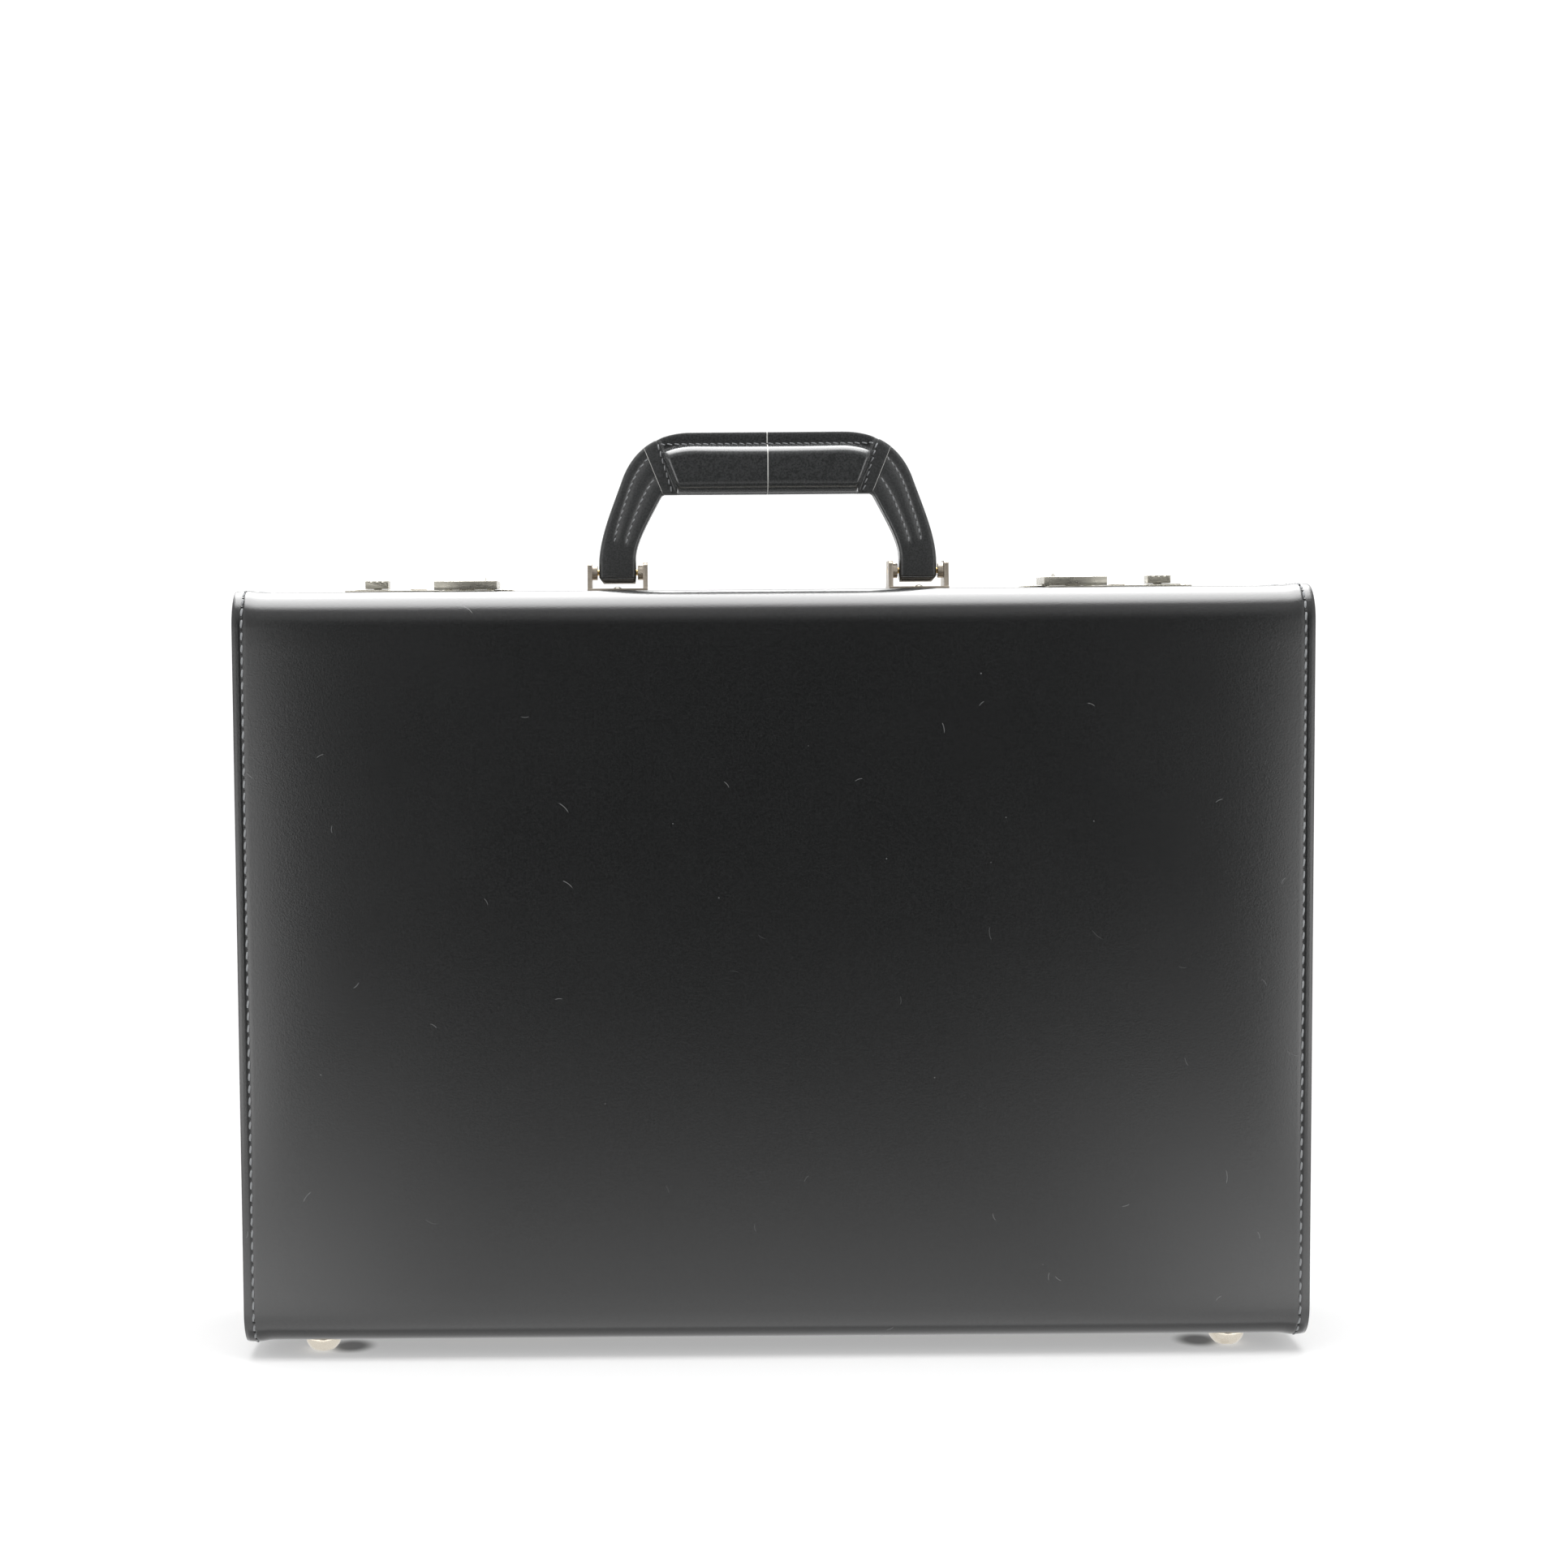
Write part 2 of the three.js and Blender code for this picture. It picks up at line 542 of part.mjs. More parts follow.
// Padded body with rounded edges below a thin sewn flange.
function gripSection() {
  const bodyTop = GRIP.top - GRIP.flangeHeight;
  const body = roundedRectangle(
    GRIP.halfY,
    (bodyTop - GRIP.bottom) / 2,
    GRIP.radius,
    0,
    (bodyTop + GRIP.bottom) / 2,
  );
  const x = around(0, ARM.outer);
  return join(alongX(body, x, 5), box(x, around(0, GRIP.flangeHalfY), [bodyTop - GRIP.radius, GRIP.top]));
}

function makeHandle(parent) {
  const handle = groupAt(parent, [0, HANDLE_Y, TOP_Z + PIN_HEIGHT]);
  const wide = around(0, GRIP.halfY + PAST);
  const core = alongY(archOutline(CORE.inset, CORE.end), around(0, CORE.halfY), 5);
  const cavity = alongY(archOutline(CORE.inset - GAP, CORE.end - GAP), around(0, CORE.halfY + GAP), 5);
  place(handle, "handle_core", core, STEEL);

  const gripBlock = common(gripSection(), alongY(archOutline(0, ARM.end), wide, 5));
  const grip = cut(common(gripBlock, alongY(gripRegion(0), wide)), cavity);
  place(handle, "handle_grip", grip, LEATHER_BLACK);

  const arch = alongY(archOutline(0, ARM.end), around(0, ARM.halfY), 5);
  const pinHole = rodX(HANDLE_PIN.hole, around(0, ARM.outer + PAST));
  const arms = cut(arch, alongY(gripRegion(-GAP), wide), cavity, pinHole);
  for (const [sideName, side] of Object.entries(SIDES)) {
    const reach = side * (ARM.outer + PAST);
    const half = box([Math.min(0, reach), Math.max(0, reach)], wide, longer([ARM.end, GRIP.top]));
    place(handle, `handle_arm_${sideName}`, common(arms, half), LEATHER_BLACK);
  }
}

function handleBracket() {
  const ear = new THREE.Shape();
  const { earTop, earFoot, earHead, earCorner } = BRACKET;
  ear.moveTo(-earFoot, 0);
  ear.lineTo(-earHead, earTop - earCorner);
  ear.lineTo(earCorner - earHead, earTop);
  ear.lineTo(earHead - earCorner, earTop);
  ear.lineTo(earHead, earTop - earCorner);
  ear.lineTo(earFoot, 0);
  ear.closePath();
  const { halfX, boss, plate } = BRACKET;
  const ears = [-1, 1].flatMap((side) => {
    const span = (a, b) => [Math.min(side * a, side * b), Math.max(side * a, side * b)];
    const inner = halfX - BRACKET.ear;
    return [
      alongX(ear, span(inner, halfX), 5),
      rodX(BRACKET.bossRadius, span(inner - boss, inner + BRACKET.ear / 2), 0, PIN_HEIGHT),
    ];
  });
  const foot = box(around(0, halfX), around(0, BRACKET.halfY), [0, plate]);
  return cut(join(foot, ...ears), rodX(HANDLE_PIN.hole, around(0, halfX + PAST), 0, PIN_HEIGHT));
}

function makeHandleMounts(base) {
  for (const [sideName, side] of Object.entries(SIDES)) {
    const mount = groupAt(base, [side * BRACKET.x, HANDLE_Y, TOP_Z + SEAT]);
    place(mount, `handle_bracket_${sideName}`, handleBracket(), NICKEL);
    const pin = rodX(HANDLE_PIN.radius, around(0, BRACKET.halfX));
    place(mount, `handle_pin_${sideName}`, pin, BRASS, [0, 0, PIN_HEIGHT - SEAT]);
  }
}

// ---------------------------------------------------------------- lid stays
// Drawn for the right-hand end and mirrored for the left. Each link turns about a pivot whose
// distance from the hinge axis equals the link's own length.

const STAY = { lowerX: [197, 198.5], upperX: [195, 196.5], halfWidth: 4.5 };
const RIVET = { radius: 1.5, hole: 1.8, headRadius: 2.8, headThickness: 0.7 };
const PIVOT_PLATE = { x: [CAVITY_X - 1.6, CAVITY_X - GAP], halfY: 7, halfZ: 9 };
const ARM_HEIGHT = Math.sqrt(STAY_ARM ** 2 - STAY_OFFSET ** 2); // pivot above the hinge axis

function stayLink(x) {
  const bar = box(x, around(0, STAY.halfWidth), [0, STAY_ARM]);
  const ends = [0, STAY_ARM].map((z) => rodX(STAY.halfWidth, x, 0, z, 20));
  const holes = [0, STAY_ARM].map((z) => rodX(RIVET.hole, longer(x), 0, z));
  return cut(join(bar, ...ends), ...holes);
}

const headInside = (x) => [x[0] - GAP - RIVET.headThickness, x[0] - GAP];
const headOutside = (x) => [x[1] + GAP, x[1] + GAP + RIVET.headThickness];

function pivotBracket(linkX) {
  const plate = box(PIVOT_PLATE.x, around(0, PIVOT_PLATE.halfY), around(0, PIVOT_PLATE.halfZ));
  const head = headInside(linkX);
  const collar = rodX(RIVET.headRadius, [linkX[1] + GAP, PIVOT_PLATE.x[0] + GAP]);
  return join(plate, collar, rodX(RIVET.radius, [head[0], PIVOT_PLATE.x[1]]), rodX(RIVET.headRadius, head));
}

function kneeRivet() {
  const outerHead = headOutside(STAY.lowerX);
  const innerHead = headInside(STAY.upperX);
  const shank = rodX(RIVET.radius, [innerHead[0], outerHead[1]]);
  return join(shank, rodX(RIVET.headRadius, outerHead), rodX(RIVET.headRadius, innerHead));
}

function makeStays(base, lid) {
  const lean = Math.asin(STAY_OFFSET / STAY_ARM);
  for (const [sideName, side] of Object.entries(SIDES)) {
    const onBase = groupAt(base, [0, PARTING_Y, HINGE_HEIGHT], side);
    const onLid = groupAt(lid, [0, PARTING_Y, HINGE_HEIGHT], side);
    const basePivot = [0, STAY_OFFSET, ARM_HEIGHT];
    const lidPivot = [0, -STAY_OFFSET, ARM_HEIGHT];
    place(onBase, `stay_base_bracket_${sideName}`, pivotBracket(STAY.lowerX), STEEL, basePivot);
    place(onLid, `stay_lid_bracket_${sideName}`, pivotBracket(STAY.upperX), STEEL, lidPivot);
    const lower = place(onBase, `stay_lower_link_${sideName}`, stayLink(STAY.lowerX), STEEL, basePivot);
    lower.rotation.x = lean;
    const upper = place(onLid, `stay_upper_link_${sideName}`, stayLink(STAY.upperX), STEEL, lidPivot);
    upper.rotation.x = -lean;
    place(onBase, `stay_knee_rivet_${sideName}`, kneeRivet(), STEEL, [0, 0, 2 * ARM_HEIGHT]);
  }
}

// ---------------------------------------------------------------- fittings inside the lid

const POCKET = { halfX: 172, halfZ: 94, corner: 8, middleZ: 124, thickness: 5 };
const LOOPS = { halfX: 62, halfZ: 14, corner: 3, middleZ: 244, thickness: 8 };

function makeOrganiser(lid) {
  const back = LID.faceY + CAVITY_INSET + GAP;
  for (const [name, size] of Object.entries({ document_pocket: POCKET, pen_loop_strip: LOOPS })) {
    const outline = roundedRectangle(size.halfX, size.halfZ, size.corner, 0, size.middleZ);
    place(lid, name, alongY(outline, [back, back + size.thickness], 3), POCKET_LEATHER);
  }
}

// ---------------------------------------------------------------- the whole case

const attacheCase = new THREE.Group();
const base = groupAt(attacheCase, [0, 0, 0]);
const lid = groupAt(attacheCase, [0, 0, 0]);
makeShell(base, BASE, [...lockOpenings(), ...footOpenings(BASE)]);
makeShell(lid, LID, footOpenings(LID));
makeRims(base, lid);
makeFeet(base, lid);
makeHinges(base, lid);
makeLocks(base, lid);
makeHandleMounts(base);
makeHandle(base);
makeStays(base, lid);
makeOrganiser(lid);

export default attacheCase;
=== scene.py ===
"""A black leather attaché case with nickel fittings, standing on a white studio floor."""

import json
import math
import random
from contextlib import contextmanager

import bmesh
import bpy
from mathutils import Matrix, Vector

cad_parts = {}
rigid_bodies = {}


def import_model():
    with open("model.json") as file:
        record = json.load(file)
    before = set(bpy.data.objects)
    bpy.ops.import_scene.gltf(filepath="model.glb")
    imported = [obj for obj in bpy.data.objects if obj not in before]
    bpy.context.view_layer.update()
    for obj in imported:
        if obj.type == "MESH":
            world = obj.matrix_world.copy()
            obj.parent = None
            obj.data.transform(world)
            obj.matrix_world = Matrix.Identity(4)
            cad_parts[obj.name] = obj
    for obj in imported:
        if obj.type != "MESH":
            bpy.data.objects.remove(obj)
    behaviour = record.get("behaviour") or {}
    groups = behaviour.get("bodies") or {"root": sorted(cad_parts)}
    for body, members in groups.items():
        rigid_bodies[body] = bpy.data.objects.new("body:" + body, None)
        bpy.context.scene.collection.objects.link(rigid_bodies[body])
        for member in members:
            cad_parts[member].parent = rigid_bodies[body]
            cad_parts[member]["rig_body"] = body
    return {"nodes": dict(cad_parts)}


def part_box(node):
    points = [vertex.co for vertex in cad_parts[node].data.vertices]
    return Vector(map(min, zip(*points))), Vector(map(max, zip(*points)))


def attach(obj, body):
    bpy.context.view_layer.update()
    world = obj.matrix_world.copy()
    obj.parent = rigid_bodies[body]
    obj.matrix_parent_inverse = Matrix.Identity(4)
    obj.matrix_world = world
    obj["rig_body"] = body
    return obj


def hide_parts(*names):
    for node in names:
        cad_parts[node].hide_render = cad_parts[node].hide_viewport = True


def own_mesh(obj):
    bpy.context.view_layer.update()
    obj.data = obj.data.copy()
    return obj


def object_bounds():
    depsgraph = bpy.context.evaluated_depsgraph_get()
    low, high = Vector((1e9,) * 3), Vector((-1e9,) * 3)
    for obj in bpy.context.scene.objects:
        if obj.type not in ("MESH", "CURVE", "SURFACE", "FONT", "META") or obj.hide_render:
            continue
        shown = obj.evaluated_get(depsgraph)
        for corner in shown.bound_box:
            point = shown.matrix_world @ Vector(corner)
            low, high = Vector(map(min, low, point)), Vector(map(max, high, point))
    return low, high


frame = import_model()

CAD_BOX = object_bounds()
MM = 0.001
SIDES = {"left": -1, "right": 1}

# ------------ driving dimensions, in metres

CORNER_RADIUS = 14 * MM  # long edges of the shells
SHEET = 1.8 * MM  # leather thickness
FLANGE_INSET = 4 * MM  # stitch line to the end of the sewn flange
FACE_CROWN = 1.3 * MM  # padding under the front and back faces
FACE_CROWN_REACH = 16 * MM
LIP_RISE = 0.8 * MM  # the sewn flange stands above the top surface
LIP_REACH = 7 * MM
GROOVE_DEPTH = 0.35 * MM
GROOVE_WIDTH = 0.9 * MM
FLANGE_TILT = 0.05  # slope of the sewn flange away from the face
EDGE_ROUND = 0.55 * MM

# pitch, length and radius of the stitches
EDGE_STITCH = (4.9 * MM, 3.5 * MM, 0.45 * MM)
FINE_STITCH = (3.0 * MM, 2.3 * MM, 0.30 * MM)

PIN = Vector((0, 12 * MM, 318 * MM))  # handle axis
ARM_OUTER = 70.3 * MM
ARM_INNER = 54.9 * MM
GRIP_TOP = 57.9 * MM  # above the pins
GRIP_BOTTOM = 32.1 * MM

STUD_TOP = 6 * MM
STUD_TIP = 4.6 * MM  # radius of the flat tip
STUD_POST = 2 * MM  # radius of the post in the shell
BUTTON_TRAVEL = 5 * MM


# ------------ small helpers


def lerp(a, b, t):
    return a + (b - a) * t


def smoothstep(t):
    t = min(1.0, max(0.0, t))
    return t * t * (3 - 2 * t)


def bezier(p0, p1, p2, p3, t):
    s = 1 - t
    return p0 * s**3 + p1 * (3 * s * s * t) + p2 * (3 * s * t * t) + p3 * t**3


def quarter(steps):
    """Angles from zero to a right angle."""
    return [k / steps * math.pi / 2 for k in range(steps + 1)]


def ring(centre, across, up, radius, count):
    """Points once round a centre, from across towards up."""
    turns = [2 * math.pi * k / count for k in range(count)]
    return [centre + (across * math.cos(a) + up * math.sin(a)) * radius for a in turns]


def shade(color, factor):
    return tuple(c * factor for c in color)


@contextmanager
def edited(mesh):
    """The mesh as a bmesh, which is written back afterwards."""
    bm = bmesh.new()
    bm.from_mesh(mesh)
    yield bm
    bm.to_mesh(mesh)
    bm.free()


class Builder:
    """Gathers vertices and faces for one mesh."""

    def __init__(self):
        self.points = []
        self.faces = []
        self.slots = []

    def add_points(self, points):
        start = len(self.points)
        self.points.extend(points)
        return list(range(start, len(self.points)))

    def add_face(self, corners, slot=0):
        self.faces.append(corners)
        self.slots.append(slot)

    def add_grid(self, rows, around=False, slot_of=lambda row, column: 0):
        """Quads between rows of points. around joins the end of each row to its start."""
        indices = [self.add_points(row) for row in rows]
        width = len(rows[0])
        for i in range(len(rows) - 1):
            for j in range(width if around else width - 1):
                k = (j + 1) % width
                corners = (indices[i][j], indices[i][k], indices[i + 1][k], indices[i + 1][j])
                self.add_face(corners, slot_of(i, j))
        return indices

    def add_tube(self, rows, slot_of=lambda row, column: 0, end_slot=0):
        """A skin round rings of points, closed at both ends."""
        indices = self.add_grid(rows, True, slot_of)
        self.add_face(tuple(indices[0]), end_slot)
        self.add_face(tuple(reversed(indices[-1])), end_slot)

    def mesh(self, name):
        mesh = bpy.data.meshes.new(name)
        mesh.from_pydata([tuple(p) for p in self.points], [], self.faces)
        mesh.polygons.foreach_set("material_index", self.slots)
        clean(mesh)
        return mesh


def clean(mesh, sharp_angle=40):
    """Welds seams, turns every face outwards and shades smooth below the sharp angle."""
    with edited(mesh) as bm:
        bmesh.ops.remove_doubles(bm, verts=bm.verts, dist=1e-6)
        bmesh.ops.recalc_face_normals(bm, faces=bm.faces)
        for face in bm.faces:
            face.smooth = True
    mesh.set_sharp_from_angle(angle=math.radians(sharp_angle))


def add_object(name, data):
    made = bpy.data.objects.new(name, data)
    bpy.context.scene.collection.objects.link(made)
    return made


def show(name, mesh, body, slot, materials, replaces=()):
    """A visible piece that rides on a body and stands in for the CAD nodes it replaces."""
    piece = add_object(name, mesh)
    for material in materials:
        mesh.materials.append(material)
    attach(piece, body)
    if replaces:
        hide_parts(*replaces)
    return piece


def bake(piece):
    """Replaces the piece's mesh by its evaluated shape and drops its modifiers."""
    graph = bpy.context.evaluated_depsgraph_get()
    shape = bpy.data.meshes.new_from_object(piece.evaluated_get(graph))
    piece.modifiers.clear()
    piece.data = shape


def subdivide(piece):
    smooth = piece.modifiers.new("smooth", "SUBSURF")
    smooth.levels = smooth.render_levels = 1


def lathe(name, profile):
    """A solid turned about Z from (radius, height) pairs that start and end on the axis."""
    builder = Builder()
    x, y, z = Matrix.Identity(3)
    builder.add_grid([ring(z * height, x, y, radius, 48) for radius, height in profile], around=True)
    return builder.mesh(name)


# ------------ material graphs


class Nodes:
    """Short calls that add nodes to a node tree."""

    def __init__(self, owner):
        owner.use_nodes = True
        self.nodes = owner.node_tree.nodes
        self.links = owner.node_tree.links

    def put(self, socket, value):
        if isinstance(value, bpy.types.NodeSocket):
            self.links.new(value, socket)
        elif isinstance(value, tuple) and len(value) == 3 and socket.type == "RGBA":
            socket.default_value = (*value, 1)
        else:
            socket.default_value = value

    def node(self, kind, inputs=None, **settings):
        made = self.nodes.new("ShaderNode" + kind)
        for key, value in settings.items():
            setattr(made, key, value)
        for key, value in (inputs or {}).items():
            self.put(made.inputs[key], value)
        return made

    def math(self, operation, a, b=0.0):
        return self.node("Math", {0: a, 1: b}, operation=operation).outputs[0]

    def times(self, a, b):
        return self.math("MULTIPLY", a, b)

    def plus(self, a, b):
        return self.math("ADD", a, b)

    def minus(self, a, b):
        return self.math("SUBTRACT", a, b)

    def larger(self, a, b):
        return self.math("MAXIMUM", a, b)

    def absolute(self, a):
        return self.math("ABSOLUTE", a)

    def span(self, value, low, high, to_low=0.0, to_high=1.0):
        settings = {"Value": value, "From Min": low, "From Max": high, "To Min": to_low, "To Max": to_high}
        return self.node("MapRange", settings, interpolation_type="SMOOTHSTEP").outputs["Result"]

    def axes(self, vector):
        """Its x, y and z."""
        return self.node("SeparateXYZ", {"Vector": vector}).outputs


class Graph(Nodes):
    """A procedural material built from nodes around one Principled shader."""

    def __init__(self, name):
        self.material = bpy.data.materials.new(name)
        super().__init__(self.material)
        self.shader = self.nodes["Principled BSDF"]
        self.place = self.node("TexCoord").outputs["Object"]

    def set(self, **values):
        for key, value in values.items():
            self.put(self.shader.inputs[key.replace("_", " ")], value)

    def mix(self, factor, a, b):
        return self.node("Mix", {"Factor": factor, 6: a, 7: b}, data_type="RGBA").outputs[2]

    def stretch(self, scale):
        return self.node("Mapping", {"Vector": self.place, "Scale": scale}).outputs["Vector"]

    def noise(self, scale, detail=2.0, roughness=0.5, vector=None):
        inputs = {"Vector": vector or self.place, "Scale": scale, "Detail": detail, "Roughness": roughness}
        return self.node("TexNoise", inputs).outputs["Fac"]

    def cells(self, scale, feature="F1", vector=None):
        inputs = {"Vector": vector or self.place, "Scale": scale}
        return self.node("TexVoronoi", inputs, feature=feature)

    def bump(self, height, strength, distance, under=None):
        inputs = {"Height": height, "Strength": strength, "Distance": distance}
        if under:
            inputs["Normal"] = under
        return self.node("Bump", inputs).outputs["Normal"]

    def blend(self, factor, first, second):
        """A mix of two shaders."""
        return self.node("MixShader", {0: factor, 1: first, 2: second}).outputs[0]

    def glow(self, strength):
        return self.node("Emission", {"Strength": strength}).outputs[0]


def hair_marks(graph, scale, length, width, bend, share, shift):
    """Short curved hairlines: one arc inside some of the cells of a coarse cell pattern."""
    moved = graph.node("Mapping", {"Vector": graph.place, "Location": shift}).outputs["Vector"]
    cell = graph.cells(scale, vector=moved).outputs
    away = graph.node("VectorMath", {0: moved, 1: cell["Position"]}, operation="SUBTRACT").outputs[0]
    chance = graph.node("SeparateColor", {"Color": cell["Color"]}).outputs
    settings = {"Vector": away, "Angle": graph.times(chance[0], 2 * math.pi), "Axis": (0, 1, 0)}
    turned = graph.axes(graph.node("VectorRotate", settings, rotation_type="AXIS_ANGLE").outputs[0])
    side = graph.minus(turned["X"], bend)
    squares = graph.plus(graph.times(side, side), graph.math("POWER", turned["Z"], 2.0))
    arc = graph.absolute(graph.minus(graph.math("SQRT", squares), bend))
    line = graph.span(arc, width * 0.5, width, 1.0, 0.0)
    along = graph.absolute(turned["Z"])
    within = graph.span(along, length * 0.3, length * 0.5, 1.0, 0.0)
    near = graph.span(graph.absolute(turned["X"]), length * 0.5, length * 0.6, 1.0, 0.0)
    chosen = graph.math("LESS_THAN", chance[1], share)
    return graph.times(graph.times(line, within), graph.times(near, chosen))


def dust_specks(graph):
    """Specks in the middle of some of the cells of a fine cell pattern."""
    cell = graph.cells(DUST_CELLS).outputs
    chance = graph.node("SeparateColor", {"Color": cell["Color"]}).outputs[2]
    speck = graph.math("LESS_THAN", cell["Distance"], DUST_SIZE)
    return graph.times(speck, graph.math("LESS_THAN", chance, DUST_SHARE))


BLACK_DARK, BLACK_LIGHT = (0.0064, 0.0067, 0.0067), (0.0074, 0.0077, 0.0078)
MARK_COLOR = (0.18, 0.185, 0.185)
LONG_MARKS = (26, 0.006, 0.00015, 0.008, 0.10, (0.3, 0.1, 0.2))
SHORT_MARKS = (42, 0.0035, 0.00013, 0.004, 0.12, (0.7, 0.5, 0.1))
DUST_CELLS = 70
DUST_SIZE = 0.02
DUST_SHARE = 0.4


def box_leather(name, marks=True, tone=1.0, dull=0.0):
    """Polished black leather: fine grain, soft unevenness, dust and hairline scratches."""
    graph = Graph(name)
    grain = graph.noise(1100, 3.0, 0.6)
    pores = graph.cells(1700).outputs["Distance"]
    wave = graph.noise(14)
    cloud = graph.noise(22)
    dark, light = shade(BLACK_DARK, tone), shade(BLACK_LIGHT, tone)
    speckle = graph.span(graph.noise(1300, 2.0, 0.7), 0.35, 0.65, 0.0, 0.9)
    black = graph.mix(speckle, graph.mix(cloud, dark, light), shade(light, 2))
    shine = graph.span(cloud, 0.2, 0.8, 0.195 + dull, 0.215 + dull)
    if marks:
        lines = graph.larger(hair_marks(graph, *LONG_MARKS), hair_marks(graph, *SHORT_MARKS))
        every = graph.larger(lines, dust_specks(graph))
        patchy = graph.times(every, graph.span(graph.noise(9, 1.0), 0.35, 0.6, 0.25, 1.0))
        black = graph.mix(graph.times(patchy, 0.75), black, MARK_COLOR)
        shine = graph.plus(shine, graph.times(patchy, 0.3))
    soft = graph.bump(wave, 0.05, 0.002)
    rough = graph.bump(grain, 0.10, 0.0002, soft)
    normal = graph.bump(pores, 0.08, 0.0002, rough)
    graph.set(Base_Color=black, Roughness=shine, Normal=normal, IOR=1.5)
    graph.set(Coat_Weight=0.15, Coat_Roughness=0.18)
    return graph.material


def raw_edge(name, color):
    """The painted cut edge of leather, with faint layers."""
    graph = Graph(name)
    layers = graph.noise(900, 3.0, 0.7)
    graph.set(
        Base_Color=graph.mix(layers, color, shade(color, 0.5)),
        Roughness=graph.span(layers, 0.3, 0.7, 0.4, 0.6),
        Normal=graph.bump(layers, 0.25, 0.0003),
    )
    return graph.material


def thread(name, color):
    graph = Graph(name)
    fibre = graph.noise(3500, 2.0, 0.6)
    graph.set(
        Base_Color=graph.mix(fibre, color, shade(color, 0.45)),
        Roughness=0.75,
        Sheen_Weight=0.25,
        Normal=graph.bump(fibre, 0.5, 0.0003),
    )
    return graph.material


def plated(name, color, dull, roughness, metallic=1.0):
    """Worn plating: long fine scratches, dull patches and a little tarnish."""
    graph = Graph(name)
    lines = graph.noise(120, 4.0, 0.7, graph.stretch((1.0, 22.0, 22.0)))
    cross = graph.noise(90, 4.0, 0.7, graph.stretch((22.0, 3.0, 22.0)))
    stain = graph.span(graph.noise(160, 5.0, 0.65), 0.45, 0.80, 0.0, 0.6)
    scratched = graph.larger(graph.span(lines, 0.55, 0.62), graph.span(cross, 0.6, 0.66))
    worn = graph.span(scratched, 0.0, 1.0, roughness, roughness + 0.14)
    graph.set(
        Base_Color=graph.mix(stain, color, dull),
        Metallic=metallic,
        Roughness=graph.plus(worn, graph.times(stain, 0.18)),
        Normal=graph.bump(scratched, 0.05, 0.00005),
    )
    return graph.material


def suede(name, color):
    """Napped cloth: brushed patches, short fibres and a soft sheen."""
    graph = Graph(name)
    nap = graph.noise(1600, 4.0, 0.7)
    brushed = graph.noise(18, 3.0, 0.6, graph.stretch((1.0, 1.0, 2.2)))
    tone = graph.mix(brushed, shade(color, 0.7), shade(color, 1.5))
    graph.set(
        Base_Color=graph.mix(graph.times(nap, 0.5), tone, shade(color, 0.5)),
        Roughness=0.95,
        Sheen_Weight=0.5,
        Sheen_Roughness=0.5,
        Normal=graph.bump(nap, 0.5, 0.0005),
    )
    return graph.material


def grained_leather(name, color):
    """Soft brown leather with a pebbled grain."""
    graph = Graph(name)
    pebble = graph.cells(700, "DISTANCE_TO_EDGE").outputs["Distance"]
    tone = graph.noise(25, 4.0, 0.6)
    creased = graph.span(pebble, 0.0, 0.16)
    graph.set(
        Base_Color=graph.mix(tone, color, shade(color, 0.55)),
        Roughness=graph.span(tone, 0.3, 0.7, 0.42, 0.58),
        Normal=graph.bump(creased, 0.35, 0.0003),
    )
    return graph.material


def plywood(name):
    graph = Graph(name)
    rings = graph.noise(14, 5.0, 0.6, graph.stretch((1.0, 9.0, 14.0)))
    graph.set(
        Base_Color=graph.mix(rings, (0.50, 0.36, 0.20), (0.30, 0.19, 0.09)),
        Roughness=0.8,
        Normal=graph.bump(rings, 0.2, 0.0005),
    )
    return graph.material


LEATHER = box_leather("black_leather")
GRIP_LEATHER = box_leather("grip_leather", marks=False, tone=2.9)
ARM_LEATHER = box_leather("arm_leather", marks=False, tone=2.9, dull=0.12)
EDGE_PAINT = raw_edge("painted_edge", (0.030, 0.026, 0.028))
PALE_EDGE = raw_edge("pale_cut_edge", (0.75, 0.75, 0.72))
GREY_THREAD = thread("grey_thread", (0.33, 0.34, 0.35))
HOLE = raw_edge("needle_hole", (0.004, 0.004, 0.004))
NICKEL = plated("worn_nickel", (0.46, 0.44, 0.38), (0.26, 0.25, 0.20), 0.27, metallic=0.8)
BRACKET_NICKEL = plated("bracket_nickel", (0.34, 0.30, 0.25), (0.20, 0.17, 0.13), 0.3, metallic=0.8)
STUD_NICKEL = plated("stud_nickel", (0.76, 0.70, 0.60), (0.55, 0.48, 0.38), 0.2)
PATINA = plated("dark_patina", (0.10, 0.095, 0.085), (0.05, 0.045, 0.04), 0.42)
KEY_METAL = plated("key_metal", (0.62, 0.58, 0.50), (0.36, 0.33, 0.26), 0.3)
RIM_METAL = plated("rim_metal", (0.42, 0.40, 0.36), (0.28, 0.26, 0.22), 0.36)
STEEL = plated("steel", (0.50, 0.50, 0.51), (0.30, 0.29, 0.28), 0.32)
BRASS = plated("brass", (0.60, 0.44, 0.20), (0.30, 0.21, 0.10), 0.28)
SUEDE = suede("suede_lining", (0.19, 0.115, 0.065))
POCKET_LEATHER = grained_leather("pocket_leather", (0.085, 0.045, 0.022))
TAN_THREAD = thread("tan_thread", (0.42, 0.28, 0.15))
BOARD = plywood("board")


# ------------ sewing


